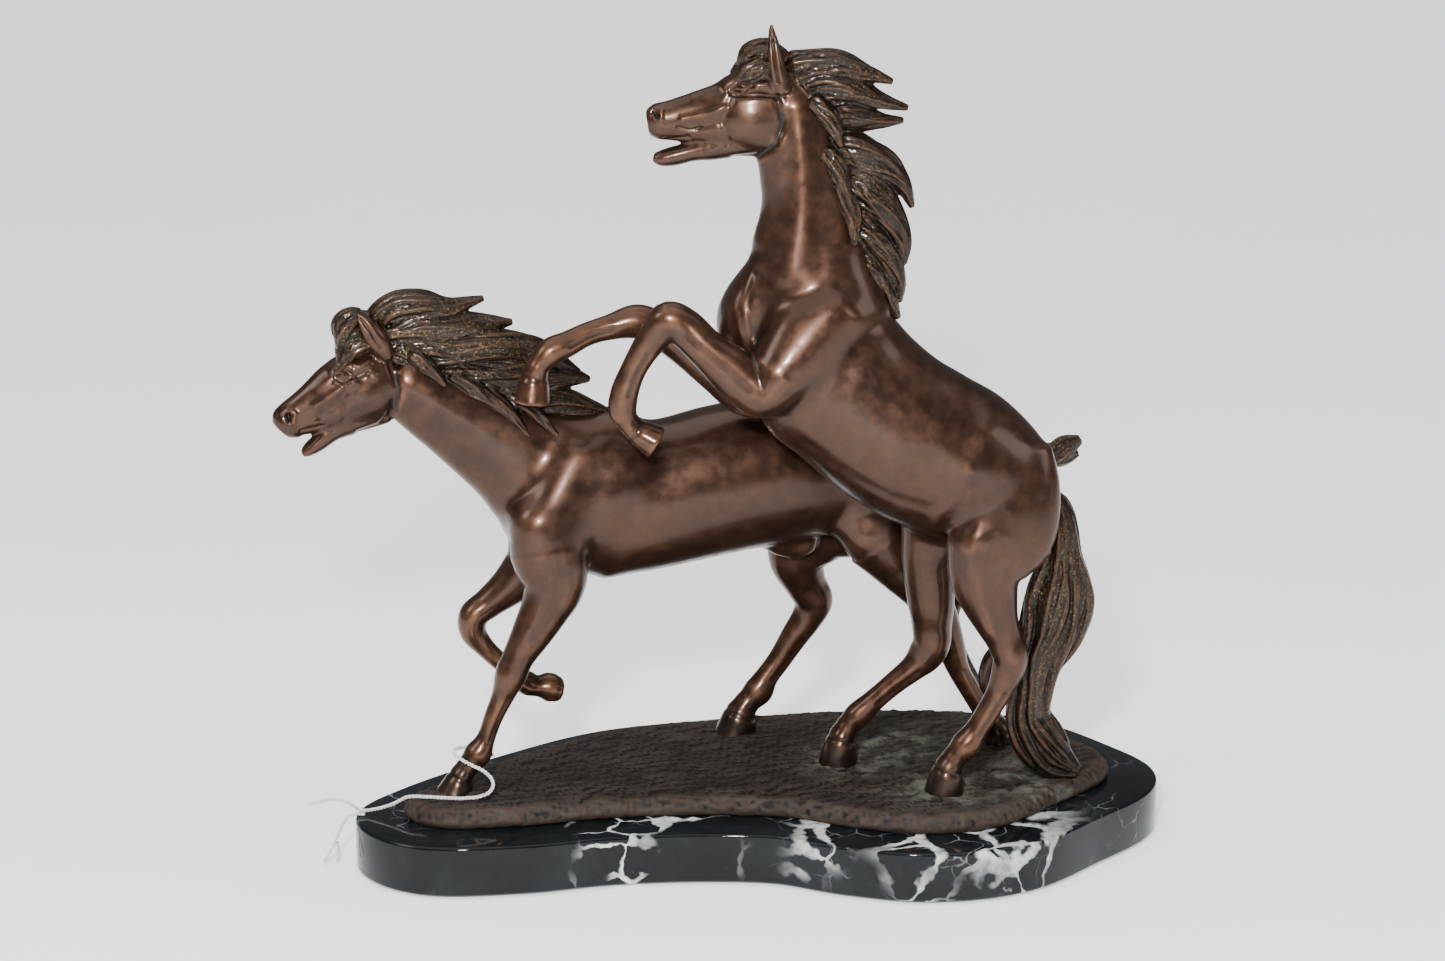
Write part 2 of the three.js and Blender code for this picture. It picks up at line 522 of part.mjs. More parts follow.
function makeString(points) {
  const path = new THREE.CatmullRomCurve3(points.map((point) => new THREE.Vector3(...point)));
  const section = new THREE.Shape();
  for (let side = 0; side <= STRING_SIDES; side += 1) {
    const angle = (side / STRING_SIDES) * 2 * Math.PI;
    const [x, y] = [Math.cos(angle), Math.sin(angle)].map((part) => (part * STRING_DIAMETER) / 2);
    if (side === 0) section.moveTo(x, y);
    else section.lineTo(x, y);
  }
  const steps = Math.ceil(path.getLength() / STRING_STEP);
  return solidOf(new THREE.ExtrudeGeometry(section, { steps, extrudePath: path, bevelEnabled: false }));
}

// ---- assembly -----------------------------------------------------------------------------------

function finish(color, roughness, metalness) {
  return new THREE.MeshStandardMaterial({ color, roughness, metalness });
}

const model = new THREE.Group();
model.add(meshOf('base_felt', makeFelt(), finish(0x2b2b2b, 0.95, 0)));
model.add(meshOf('marble_base', makeMarble(), finish(0x1c2226, 0.15, 0)));
model.add(meshOf('bronze_ground', makeGround(), finish(0x3d3028, 0.5, 0.8)));
studPlaces.forEach(([x, y], index) => {
  const steel = () => finish(0x8d9093, 0.4, 1);
  model.add(meshOf(`mounting_stud_${index + 1}`, makeStud(), steel(), [x, y, STUD_END]));
  model.add(meshOf(`stud_washer_${index + 1}`, makeWasher(), steel(), [x, y, WASHER_BOTTOM]));
  model.add(meshOf(`stud_nut_${index + 1}`, makeNut(), steel(), [x, y, NUT_BOTTOM]));
});
const materials = () => ({ bronze: finish(0x4a2c20, 0.35, 0.9), hair: finish(0x3a2e22, 0.5, 0.8) });
model.add(horseGroup('running', running, RUNNING, materials()));
model.add(horseGroup('rearing', rearing, REARING, materials()));
model.add(meshOf('tag_string_lead', makeString(STRING_LEAD), finish(0xe6e4dc, 0.9, 0)));
model.add(meshOf('tag_string_end', makeString(STRING_END), finish(0xe6e4dc, 0.9, 0)));
model.add(meshOf('tag_string_tip', makeString(STRING_TIP), finish(0xe6e4dc, 0.9, 0)));

export default model;
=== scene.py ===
"""Bronze group of a running and a rearing horse on a bronze ground and a black marble base.

The two horses are built as modeller's skins: lofted masses are fused, smoothed and carved with
strokes, then sawn into the castings that the group is put together from. Lengths in the tables are
millimetres; every finished piece is in metres.
"""

import json
import logging
import math
from dataclasses import dataclass
from enum import Enum
from typing import Callable, Iterable, Sequence

import bmesh
import bpy
import numpy as np
from mathutils import Matrix, Vector
from mathutils.kdtree import KDTree

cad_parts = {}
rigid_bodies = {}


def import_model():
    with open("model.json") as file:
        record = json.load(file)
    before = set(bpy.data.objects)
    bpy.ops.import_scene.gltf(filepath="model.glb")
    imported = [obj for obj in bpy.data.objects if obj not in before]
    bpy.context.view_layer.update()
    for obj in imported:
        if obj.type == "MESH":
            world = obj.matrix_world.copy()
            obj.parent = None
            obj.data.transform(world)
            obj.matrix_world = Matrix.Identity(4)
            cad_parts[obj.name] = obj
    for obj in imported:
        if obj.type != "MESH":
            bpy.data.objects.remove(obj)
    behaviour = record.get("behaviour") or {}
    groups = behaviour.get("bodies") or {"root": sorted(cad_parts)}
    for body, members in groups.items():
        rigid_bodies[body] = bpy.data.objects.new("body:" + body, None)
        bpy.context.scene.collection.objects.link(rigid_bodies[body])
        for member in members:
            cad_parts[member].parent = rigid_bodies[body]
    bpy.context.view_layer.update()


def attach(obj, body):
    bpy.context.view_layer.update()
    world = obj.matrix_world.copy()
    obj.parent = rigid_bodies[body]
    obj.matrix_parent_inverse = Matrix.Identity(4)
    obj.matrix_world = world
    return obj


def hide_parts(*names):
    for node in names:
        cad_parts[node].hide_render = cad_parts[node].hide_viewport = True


Row = tuple[float, ...]
Rows = tuple[Row, ...]
Locks = tuple[Rows, ...]

LOG = logging.getLogger("bronze_group")
MM = 0.001
BODY = "root"

# Levels over the floor, shared with the solids that the pieces stand for.
FELT_THICKNESS = 1.2
MARBLE_BOTTOM = 1.5
MARBLE_TOP = 25.0
GROUND_BOTTOM = 25.3
GROUND_TOP = 34.0

# Reach of the marble and of the felt past the ground's foot, and the marble's softened edge.
BASE_MARGIN = 22.88
FELT_REACH = 18.5
MARBLE_EDGE = 1.5

# Recesses and holes for the studs, and the string.
RECESS_TOP = 11.5
RECESS_DIAMETER = 18.0
STUD_HOLE_DIAMETER = 6.8
STRING_DIAMETER = 1.8

# Points along a lock's middle line, and the shift that sets one lock's fibres off from the next.
LOCK_STEP = 1.0
LOCK_SHIFT = 37.0

# Rounds of relaxing that level out creases, and those that level out muscles and locks.
CREASE_ROUNDS = 3
MUSCLE_ROUNDS = 24

# Guards against dividing by nothing, and the saw's tolerance.
SMALLEST_GAP = 1e-6
SMALLEST_RUN = 1e-9
SAW_TOLERANCE = 1e-5

# Points round a limb, and the groove before a back tendon: width, depth and place from the middle.
BAND_STEPS = 16
TENDON_WIDTH = 1.3
TENDON_DEPTH = 0.55
TENDON_PLACE = 0.3

# Each row is one section across a casting, in the horse's own frame: place along the horse (nose
# negative), height over the ground, half depth, half breadth, and shift to the horse's left.

RUNNING_TORSO: Rows = (
    (-121, 118, 9, 10, 0), (-115, 120, 21, 19, 0), (-101, 125, 31, 25, 0), (-80, 131, 41, 29, 0),
    (-51, 130, 36, 31, 0), (-26, 134, 36, 32, 0), (2, 138, 36, 32, 0), (32, 141, 35, 30, 0),
    (57, 140, 33, 28, 0), (80, 137, 27, 24, 0), (94, 136, 18, 16, 0), (102, 136, 7, 7, 0),
)

RUNNING_NECK: Rows = (
    (-172, 196, 15, 9, 0), (-162, 187.5, 17.5, 11, 0), (-139, 171, 21.5, 14, 0),
    (-118, 156.5, 26.5, 18, 0), (-102, 146, 33, 22, 0), (-87, 136, 38, 26, 0),
)

RUNNING_SKULL: Rows = (
    (-171, 193, 13, 8, 0), (-178, 192, 17, 10, 0), (-188, 189, 18, 10.5, 0), (-198, 185, 16, 9.5, 0),
    (-207, 181, 12.5, 8, 0), (-214, 178, 10, 7, 0), (-218, 176, 9, 6.5, 0), (-221.5, 173, 8, 6.5, 0),
    (-223.5, 171, 5, 5, 0),
)

RUNNING_JAW: Rows = (
    (-178, 182, 11, 7, 0), (-191, 175, 8, 6.5, 0), (-200, 169.5, 5, 5.5, 0), (-207, 164, 4, 5, 0),
    (-211.5, 161, 3, 4.5, 0), (-214, 159, 1.5, 3, 0),
)

RUNNING_EAR: Rows = (
    (-174, 204, 3, 3, 6.5), (-177.5, 210, 5, 4, 8), (-182.5, 217.5, 4.6, 3.6, 8.8), (-188, 225, 1, 1, 9),
)

RUNNING_LEFT_FORELEG: Rows = (
    (-83, 157, 16, 8, 15), (-95, 132, 19, 12, 18), (-104, 112, 18, 14, 21), (-102, 97, 15, 13, 23),
    (-106, 86, 12, 11, 24), (-113.5, 73, 9.5, 9, 25), (-120, 62, 7.5, 7.5, 25),
    (-123.5, 54, 7.5, 8, 25), (-127, 45, 5.5, 6, 25), (-132, 34, 4.5, 5, 25), (-136, 23.5, 4.5, 5, 25),
    (-139.5, 17, 6.5, 6.5, 25), (-144.5, 11, 5, 5.5, 25), (-148, 6, 6, 7, 25),
    (-151, -3, 9.5, 9.5, 25),
)

RUNNING_RIGHT_FORELEG: Rows = (
    (-86, 140, 16, 8, -15), (-97, 109, 18, 12, -18), (-106, 92, 13, 12, -20),
    (-116, 83, 9.5, 9.5, -21), (-125.5, 75.5, 7.5, 8, -22), (-133, 69.5, 7, 8, -22),
    (-133, 62, 6.5, 7, -22), (-128, 54.5, 5, 5, -21), (-121, 47, 4.5, 5, -20),
    (-113.5, 39.5, 4.5, 5, -20), (-107, 34.5, 6, 6.5, -20), (-103, 33, 5, 6.5, -20),
    (-98.5, 32.5, 6.5, 7, -20), (-94, 31, 7, 8, -20), (-91, 30, 5, 7, -20),
)

RUNNING_LEFT_HINDLEG: Rows = (
    (60, 152, 24, 10, 8), (58, 123, 28, 15, 12), (60, 107, 20, 15, 15), (72, 91, 15.5, 12, 17),
    (82, 76, 11, 10.5, 18), (89, 61, 8.5, 9, 19), (93.5, 49, 7, 8, 19), (97, 39, 5.5, 6.5, 19),
    (103, 28, 5, 5.5, 19), (109, 18, 5, 5.5, 19), (113, 13, 6.5, 6.5, 19), (116, 9, 5.5, 6, 19),
    (118, 5, 7.5, 8, 19), (119, -3, 9.5, 9.5, 19),
)

RUNNING_RIGHT_HINDLEG: Rows = (
    (59, 145, 24, 10, -10), (47, 117, 27, 14, -14), (31, 100, 23, 13, -18),
    (27.5, 87, 14.5, 11.5, -21), (32, 74.5, 10.5, 9, -23), (36.5, 65, 9.5, 8.5, -24),
    (33.5, 56.5, 8, 7.5, -25), (27, 47, 7, 6, -25), (19.5, 35, 6, 5.2, -26), (13, 26.5, 6, 5.5, -26),
    (9, 20, 7.5, 6.5, -26), (3, 14, 6, 6, -26), (0, 9, 8, 8, -26), (-3, -3, 11, 10, -26),
)

RUNNING_TAIL: Locks = (
    (
        (90, 148, 7, 8, 0), (106, 149, 7, 8, -2), (122, 147, 7, 7, -4), (137, 141, 6.5, 6, -5),
        (151, 136, 6, 5, -6), (158.5, 139.5, 6, 4, -6), (166, 143, 2, 1.5, -6),
    ),
    ((144, 137, 4, 4, -6), (156, 134, 4, 4, -6), (165, 136, 1, 1.5, -6)),
    (
        (98, 142, 7, 8, 0), (113, 118, 7, 8, 2), (115, 95, 6, 8, 3), (106, 79, 5.5, 7, 4),
        (97, 65, 4.5, 6, 6), (97, 52, 4.5, 6, 8), (102.5, 39, 4, 5, 9), (110, 26, 3, 4, 9),
        (117, 16, 1, 2, 8),
    ),
)

RUNNING_MANE: Locks = (
    (
        (-176, 212, 4, 5, 0), (-178, 220, 5.5, 6, 0), (-170, 226.5, 6.5, 7.5, 1), (-158, 227, 6, 8, 2),
        (-146, 225, 4.5, 7, 2), (-129, 228.5, 1, 1.5, 2),
    ),
    ((-180, 214, 7, 6, 0), (-158, 215, 10, 9, 2), (-138, 216, 7, 8, 3), (-116, 217, 1, 1.5, 3)),
    (
        (-170, 209, 7, 6, 2), (-149, 206, 10, 9, 3), (-124, 206, 9, 9, 4), (-104, 202, 6, 7, 4),
        (-85, 192, 1, 1.5, 4),
    ),
    (
        (-154, 198, 8, 7, 3), (-131, 193, 10, 9, 4), (-106, 192, 9, 9, 4), (-90, 190, 5, 6, 3),
        (-80, 188, 1, 1.5, 3),
    ),
    (
        (-138, 188, 8, 7, 3), (-117, 182, 9, 9, 4), (-96, 179, 8, 9, 3), (-80, 174, 4.5, 6, 2),
        (-66, 168.5, 1, 1.5, 1),
    ),
    ((-146, 196, 5, 7, 7), (-133, 186, 4, 5, 10), (-123, 177, 1, 1.5, 13)),
    (
        (-176, 208, 7, 7, 0), (-165, 204, 8, 8, 0), (-150, 196, 8, 8, 0), (-130, 186, 8, 7, 1),
        (-108, 175, 7, 7, 1), (-88, 167, 4, 5, 1),
    ),
    ((-164, 206, 3.5, 4, 8), (-157, 200, 3.5, 3, 10.5), (-149, 190.5, 0.8, 1, 12)),
    ((-160, 206, 3.5, 4, -8), (-150, 200, 3.5, 3, -10.5), (-139, 188, 0.8, 1, -12.5)),
    ((-133, 190, 4, 4, 9), (-122, 180, 3.5, 3.5, 12), (-111, 165, 0.8, 1, 15.5)),
    ((-128, 187, 4, 4, -9), (-116, 178, 3.5, 3.5, -12), (-103, 166, 0.8, 1, -16)),
    ((-120, 184, 4, 4, 9), (-108, 176, 3, 3.5, 12), (-98, 165, 0.8, 1, 15)),
)

RUNNING_FORELOCK: Locks = (
    ((-182, 217, 8, 6, 0), (-189.5, 218, 7, 7, 2), (-194, 214.5, 5, 6, 3), (-196.5, 209, 1, 1.5, 3)),
    (
        (-185, 221, 4.5, 6, 0), (-191.5, 222, 4, 6, -2), (-195.5, 218, 3, 5, -3),
        (-197, 213, 1, 1.5, -3),
    ),
    (
        (-176, 211, 6, 7, 0), (-184, 212, 7, 8, 2), (-191, 208, 6, 7, 4), (-195, 202, 3, 4, 5),
        (-197, 198.5, 1, 1.5, 5.5),
    ),
    ((-176, 212, 6, 6, -2), (-185, 212, 6, 7, -3), (-192, 208, 5, 6, -4), (-196, 203, 1, 1.5, -4)),
)

REARING_TORSO: Rows = (
    (0, 213, 9, 10, 0), (9, 213, 23, 19, 0), (19, 207, 34, 25, 0), (31, 198, 39, 29, 0),
    (46, 184, 38, 30, 0), (62, 170.5, 38, 31, 0), (80, 160, 38, 31, 0), (96, 154, 35.5, 29, 0),
    (111, 147, 30, 27, 0), (125, 139, 22, 22, 0), (135, 132.5, 11, 13, 0), (141, 131, 4, 5, 0),
)

REARING_BREAST: Rows = (
    (5.5, 250, 6, 10, 0), (1, 239.5, 9, 15, -2), (-2.5, 228, 13, 19, -4), (-5, 217, 13.5, 20, -5),
    (-1.5, 207, 11, 19, -5), (4, 199.5, 7, 12, -4),
)

REARING_NECK: Rows = (
    (10, 333, 7, 6, 0), (14, 322, 13, 9, 0), (16, 309, 18.5, 11, 0), (20, 291, 19.5, 12.5, 0),
    (23, 273, 21.5, 14, 0), (23.5, 254.5, 26.5, 17, 0), (25, 236, 30.5, 21, 0), (30, 217, 34, 26, 0),
)

REARING_SKULL: Rows = (
    (18, 321.5, 9, 7, 0), (13, 318.5, 17, 9.5, 0), (4, 317, 21.5, 11, 0), (-5, 315.5, 19.5, 11, 0),
    (-15.5, 313.5, 15, 9.5, 0), (-29, 312.5, 11.5, 7.5, 0), (-39.5, 311.5, 9, 7, 0),
    (-45.5, 311, 8, 6.5, 0), (-49, 310.5, 5.5, 4.5, 0),
)

REARING_JAW: Rows = (
    (2, 307, 12, 7.5, 0), (-9.5, 303.5, 9, 7, 0), (-20, 299.5, 6, 6, 0), (-29, 297.5, 4.5, 5, 0),
    (-37, 295.5, 4.5, 5, 0), (-43.5, 294.5, 3.5, 4.5, 0), (-46.5, 295, 2, 3, 0),
)

REARING_EAR: Rows = (
    (12, 325, 4, 4, 7), (8.5, 338.5, 4, 4, 8), (6.5, 354, 0.8, 1, 8),
)

REARING_LEFT_FORELEG: Rows = (
    (41, 230, 14.5, 8, 17), (25, 214, 20, 12, 19), (11.5, 200.5, 16, 14, 21), (3.5, 191, 12, 13, 22),
    (-5, 196, 11.5, 12, 23), (-11, 202, 11, 10.5, 24), (-23, 212.5, 9, 9.5, 24),
    (-32.5, 221.5, 9, 8.5, 23), (-39.5, 225, 8.5, 8.5, 23), (-45.5, 217.5, 7.5, 7, 22),
    (-51, 209.5, 6.5, 5.5, 21), (-56, 200, 6, 5.5, 19), (-59.5, 190.5, 6.5, 6, 18),
    (-60.5, 181.5, 6.5, 6.5, 17), (-57, 175, 5, 6, 16), (-54, 172, 6, 7, 16), (-45, 166.5, 8, 9, 16),
)

REARING_RIGHT_FORELEG: Rows = (
    (39, 221, 15, 8, -17), (23, 204, 19.5, 12, -20), (9, 187.5, 16, 13, -19), (-3.5, 182, 11, 12, -17),
    (-17.5, 192.5, 9.5, 10, -13), (-34, 207, 8.5, 9, -7), (-48, 217.5, 8, 8.5, -2),
    (-55, 219.5, 8, 8, 0), (-66.5, 217.5, 6, 6, 3), (-76.5, 215, 5.5, 5.2, 6), (-85.5, 211, 6, 6, 9),
    (-93.5, 207.5, 6.5, 6.5, 11), (-99, 201, 5, 6, 12), (-100.5, 196.5, 6.5, 7, 12),
    (-102, 184, 8.5, 9, 13),
)

REARING_LEFT_HINDLEG: Rows = (
    (114, 165, 22, 10, 8), (114, 143, 26.5, 14, 12), (113, 124.5, 25.5, 14, 15),
    (108, 112.5, 21, 13, 17), (106, 102.5, 17, 12, 18), (108, 92, 13.5, 11, 18),
    (111, 83, 10.5, 9.5, 19), (115, 73.5, 8.5, 8.3, 19), (118, 65.5, 8.5, 8.5, 19),
    (116.5, 58, 7.5, 7.5, 19), (113, 48.5, 6, 6, 19), (107.5, 38, 5.5, 5.5, 19),
    (102.5, 29.5, 5.5, 5.5, 19), (98, 22.5, 7, 7, 19), (93, 16.5, 5.5, 6.2, 19), (90, 11, 7, 8, 19),
    (88, -3, 10, 10, 19),
)

REARING_RIGHT_HINDLEG: Rows = (
    (102, 161, 22, 10, -8), (93, 131, 24.5, 14, -12), (85, 116, 18, 13, -15),
    (81.5, 103.5, 13, 12, -17), (82.5, 91, 12, 11, -18), (83.5, 78.5, 11, 10.5, -19),
    (84, 68, 9.5, 9, -20), (84, 60, 9, 8.5, -20), (80.5, 53, 8.5, 8, -21), (75.5, 47.5, 6.5, 7, -21),
    (66, 39, 5.5, 5.5, -22), (56.5, 30, 5.5, 5.5, -23), (49, 22.5, 6.5, 6.5, -23),
    (44.5, 17, 5.5, 6, -23), (42, 12, 7, 8, -23), (40, -3, 10, 10, -23),
)

REARING_TAIL: Locks = (
    (
        (132, 142, 6, 7, 0), (141, 127.5, 7, 9, 0), (142.5, 111, 9.5, 11, 0), (142, 91.5, 16.5, 13, 0),
        (138.5, 74.5, 15, 13, 0), (132.5, 60, 12, 12, 0), (130, 44, 9.5, 11, 0),
        (128.5, 31, 10.5, 10, 0), (133, 20, 12.5, 11, 0), (140, 10, 11, 9, 0), (152, 3, 3, 4, 0),
    ),
    (
        (134, 74, 6, 7, -2), (121, 65, 5, 6, -4), (111, 56, 4, 5, -5), (109, 45.5, 3.5, 4, -5),
        (113, 34, 1, 2, -5),
    ),
)

REARING_MANE: Locks = (
    ((13, 334, 8, 6, 0), (33, 337, 6.5, 7, 0), (48.5, 333, 4, 5, 1), (61, 329, 1, 1.5, 1)),
    ((19, 326, 8, 7, 0), (37.5, 327, 8, 8, 1), (53, 321.5, 4.5, 5, 2), (68, 317.5, 1, 1.5, 2)),
    ((23, 313, 8, 7, 0), (40, 314, 8, 8, 1), (54.5, 312, 4, 5, 2), (66, 312, 1, 1.5, 2)),
    (
        (29, 303, 8, 7, 0), (44.5, 298, 9, 8, 2), (58, 291.5, 7, 7, 2), (66, 283, 4, 5, 2),
        (70.5, 272.5, 1, 1.5, 2),
    ),
    (
        (36, 289, 8, 7, 0), (49.5, 281, 9, 8, 2), (59.5, 269.5, 7, 7, 2), (66, 257, 4.5, 5, 2),
        (67, 246.5, 1, 1.5, 2),
    ),
    (
        (42, 271, 8, 7, 0), (53, 259.5, 8, 8, 1), (61, 247, 6, 6, 2), (65, 238, 3, 4, 2),
        (65.5, 229, 1, 1.5, 1),
    ),
    ((46, 252, 7, 6, 0), (55.5, 240, 6.5, 7, 0), (61, 229, 4, 5, 0), (65, 221, 1, 1.5, 0)),
    (
        (14, 335, 6, 6, 0), (24, 326, 8, 7, 0), (32, 309, 8, 7, 0), (38, 291, 8, 7, 0), (44, 269, 8, 7, 0),
        (48, 246, 5, 6, 0),
    ),
    ((24, 322, 4, 4, 7), (33, 313, 4, 4, 9), (38, 301, 0.8, 1, 10)),
    ((30, 300, 4, 4, 9), (37, 290, 4, 3.5, 11), (41, 277, 0.8, 1, 12)),
    ((36, 284, 4, 4, 9), (43, 271, 4, 3.5, 11), (44, 257, 0.8, 1, 14)),
    ((26, 318, 4, 4, -7), (36, 309, 4, 4, -9), (42, 297, 0.8, 1, -10)),
    ((34, 292, 4, 4, -9), (42, 280, 4, 3.5, -11), (46, 264, 0.8, 1, -13)),
)

REARING_FORELOCK: Locks = (
    ((12, 337, 6, 6, 0), (4, 343, 5, 6, 2), (-4, 342, 4, 5, 3), (-8, 337, 1, 1.5, 3)),
    ((12, 333, 6, 7, 2), (3, 335, 7, 8, 4), (-4, 333, 6, 6, 6), (-9, 329.5, 1.5, 2, 7)),
    ((12, 333, 6, 7, -2), (3, 335, 7, 8, -4), (-5, 334, 6, 6, -5), (-11, 331, 1.5, 2, -6)),
)

RUNNING_SHEATH: Rows = (
    (4, 106, 5, 5, 0), (12, 102, 6.5, 6, 0), (22, 100, 6.5, 6, 0), (31, 101, 4, 4, 0),
)

REARING_SHEATH: Rows = (
    (66, 130, 5, 5, 0), (76, 126, 7, 7, 0), (86, 124, 7.5, 7, 0), (95, 126, 5, 5, 0),
)

# The base's and the string's points, over the floor: x and y, and for the string its height.

GROUND_OUTLINE: Rows = (
    (-163, -55), (-149, -73), (-110, -72), (-72, -62), (-28, -57), (14, -60), (48, -75), (80, -82),
    (112, -73), (143, -41), (168, -10), (171, 8), (159, 31), (126, 69), (74, 78), (24, 73), (-28, 61),
    (-68, 47), (-102, 20), (-150, -31),
)

STUD_PLACES: Rows = (
    (-120, -40), (10, 0), (110, -12),
)

STRING_LEAD: Rows = (
    (-122.5, -38, 48.5), (-129.5, -33, 50.5), (-137.5, -36, 52), (-140.5, -43.8, 52.8),
    (-137.6, -50.6, 51.8), (-131.8, -53.6, 49.4), (-126.2, -54, 46.6), (-122.6, -55.8, 43.8),
    (-121.4, -59, 41.2), (-122.9, -62.2, 39.2), (-127, -63.8, 37.6), (-134, -63.2, 36.5),
    (-142.5, -61.5, 36), (-152, -59.8, 35.9), (-161, -58.5, 35.4), (-168, -57, 31.5),
    (-176, -55, 28.3), (-184, -53, 27), (-190, -51.5, 30), (-197, -50.5, 31.2), (-208, -50, 28.6),
)

STRING_END: Rows = (
    (-181.5, -56.4, 26.3), (-186, -56.6, 26.3), (-189.8, -56.4, 24.6), (-192.3, -56.2, 20),
    (-195.6, -56.8, 13), (-200.8, -58.6, 3),
)

STRING_TIP: Rows = (
    (-195, -54.4, 12), (-194.6, -54.6, 7), (-195, -55.2, 2.5),
)


class Slot(Enum):
    """The record's material slots."""

    HORSE = "horse_bronze"
    HAIR = "hair_bronze"
    GROUND = "ground_bronze"
    MARBLE = "black_marble"
    FELT = "felt"
    STEEL = "fastener_steel"
    COTTON = "cotton"


class Side(Enum):
    """Which side of a horse a stroke is worked on."""

    LEFT = (1,)
    RIGHT = (-1,)
    BOTH = (1, -1)


# ---- curves and meshes --------------------------------------------------------------------------


def spline(knots: np.ndarray, spacing: float, closed: bool = False) -> np.ndarray:
    """Follows a centripetal curve through knots.

    Args:
        knots: One row per knot; columns after the third are carried along.
        spacing: Distance between two points of the result.
        closed: Whether the curve comes back to its first knot.

    Returns:
        The points on the curve, with the same columns.
    """
    if closed:
        fenced = np.vstack([knots[-1:], knots, knots[:2]])
    else:
        fenced = np.vstack([2 * knots[0] - knots[1], knots, 2 * knots[-1] - knots[-2]])
    stretches = []
    for a, b, c, d in zip(fenced, fenced[1:], fenced[2:], fenced[3:]):
        gaps = [math.sqrt(max(np.linalg.norm(q[:3] - p[:3]), SMALLEST_GAP))
                for p, q in ((a, b), (b, c), (c, d))]
        t1, t2, t3 = np.cumsum(gaps)
        steps = max(1, round(float(np.linalg.norm((c - b)[:3])) / spacing))
        t = (t1 + (t2 - t1) * np.arange(steps) / steps)[:, None]
        ab = ((t1 - t) * a + t * b) / t1
        bc = ((t2 - t) * b + (t - t1) * c) / (t2 - t1)
        cd = ((t3 - t) * c + (t - t2) * d) / (t3 - t2)
        abc = ((t2 - t) * ab + t * bc) / t2
        bcd = ((t3 - t) * bc + (t - t1) * cd) / (t3 - t1)
        stretches.append(((t2 - t) * abc + (t - t1) * bcd) / (t2 - t1))
    if not closed:
        stretches.append(knots[-1:])
    return np.vstack(stretches)


def sections(rows: Rows, spacing: float) -> tuple[np.ndarray, np.ndarray, np.ndarray]:
    """Reads section rows as a smooth run of sections.

    Args:
        rows: The section rows.
        spacing: Distance between two sections.

    Returns:
        Middles, half sizes (across, outward), and the frames' axes (across, outward, forward).
    """
    knots = np.array([(along, -left, up, breadth, depth) for along, up, depth, breadth, left in rows])
    samples = spline(knots, spacing)
    forward = np.gradient(samples[:, :3], axis=0)
    forward /= np.linalg.norm(forward, axis=1)[:, None]
    across = np.array([0.0, 1.0, 0.0]) - forward * forward[:, 1:2]
    across /= np.linalg.norm(across, axis=1)[:, None]
    outward = np.cross(across, forward)
    return samples[:, :3], samples[:, 3:5], np.stack([across, outward, forward], axis=1)


def loft(rows: Rows, sides: int = 32, spacing: float = 2.5, scale: float = 1.0) -> bpy.types.Mesh:
    """Lofts a closed form through section rows, ring by ring.

    Args:
        rows: The section rows.
        sides: Corners of each ring.
        spacing: Distance between two rings.
        scale: Factor on the half sizes.

    Returns:
        The closed mesh.
    """
    middles, sizes, axes = sections(rows, spacing)
    form = bmesh.new()
    previous: set = set()
    for index, (middle, size, axis) in enumerate(zip(middles, sizes * scale, axes)):
        columns = (axis[0] * size[0], axis[1] * size[1], axis[2])
        place = Matrix([[*(column[row] for column in columns), middle[row]] for row in range(3)]).to_4x4()
        capped = index in (0, len(middles) - 1)
        ring = bmesh.ops.create_circle(form, cap_ends=capped, segments=sides, radius=1, matrix=place)
        previous = bridged(form, previous, ring["verts"])
    bmesh.ops.recalc_face_normals(form, faces=form.faces)
    return into_mesh(form)


def bridged(form: bmesh.types.BMesh, previous: set, ring: Sequence[bmesh.types.BMVert]) -> set:
    """Joins a new ring of points to the one before it.

    Args:
        form: The form that both rings are in.
        previous: Edges of the ring before, or nothing at the first ring.
        ring: Points of the new ring.

    Returns:
        The new ring's edges.
    """
    edges = {edge for vert in ring for edge in vert.link_edges}
    if previous:
        bmesh.ops.bridge_loops(form, edges=list(previous | edges))
    return edges


def into_mesh(form: bmesh.types.BMesh) -> bpy.types.Mesh:
    """Writes a form into a new mesh.

    Args:
        form: The form, which is freed.

    Returns:
        The mesh.
    """
    mesh = bpy.data.meshes.new("form")
    form.to_mesh(mesh)
    form.free()
    return mesh


def gathered(meshes: Iterable[bpy.types.Mesh]) -> bpy.types.Mesh:
    """Puts several meshes into one.

    Args:
        meshes: The single meshes, which are dropped.

    Returns:
        The one mesh.
    """
    form = bmesh.new()
    for mesh in meshes:
        form.from_mesh(mesh)
        bpy.data.meshes.remove(mesh)
    return into_mesh(form)


def evaluated(item: bpy.types.ID, steps: Sequence[tuple[str, dict]] = ()) -> bpy.types.Mesh:
    """Runs modifiers on a mesh or curve and returns what comes out.

    Args:
        item: The mesh or curve data, which is dropped afterwards.
        steps: Modifier kinds with their settings, in order.

    Returns:
        The resulting mesh.
    """
    holder = bpy.data.objects.new("shaping", item)
    bpy.context.scene.collection.objects.link(holder)
    for kind, settings in steps:
        modifier = holder.modifiers.new(kind.lower(), kind)
        for key, value in settings.items():
            setattr(modifier, key, value)
    graph = bpy.context.evaluated_depsgraph_get()
    result = bpy.data.meshes.new_from_object(holder.evaluated_get(graph), depsgraph=graph)
    bpy.data.objects.remove(holder)
    (bpy.data.curves if isinstance(item, bpy.types.Curve) else bpy.data.meshes).remove(item)
    return result


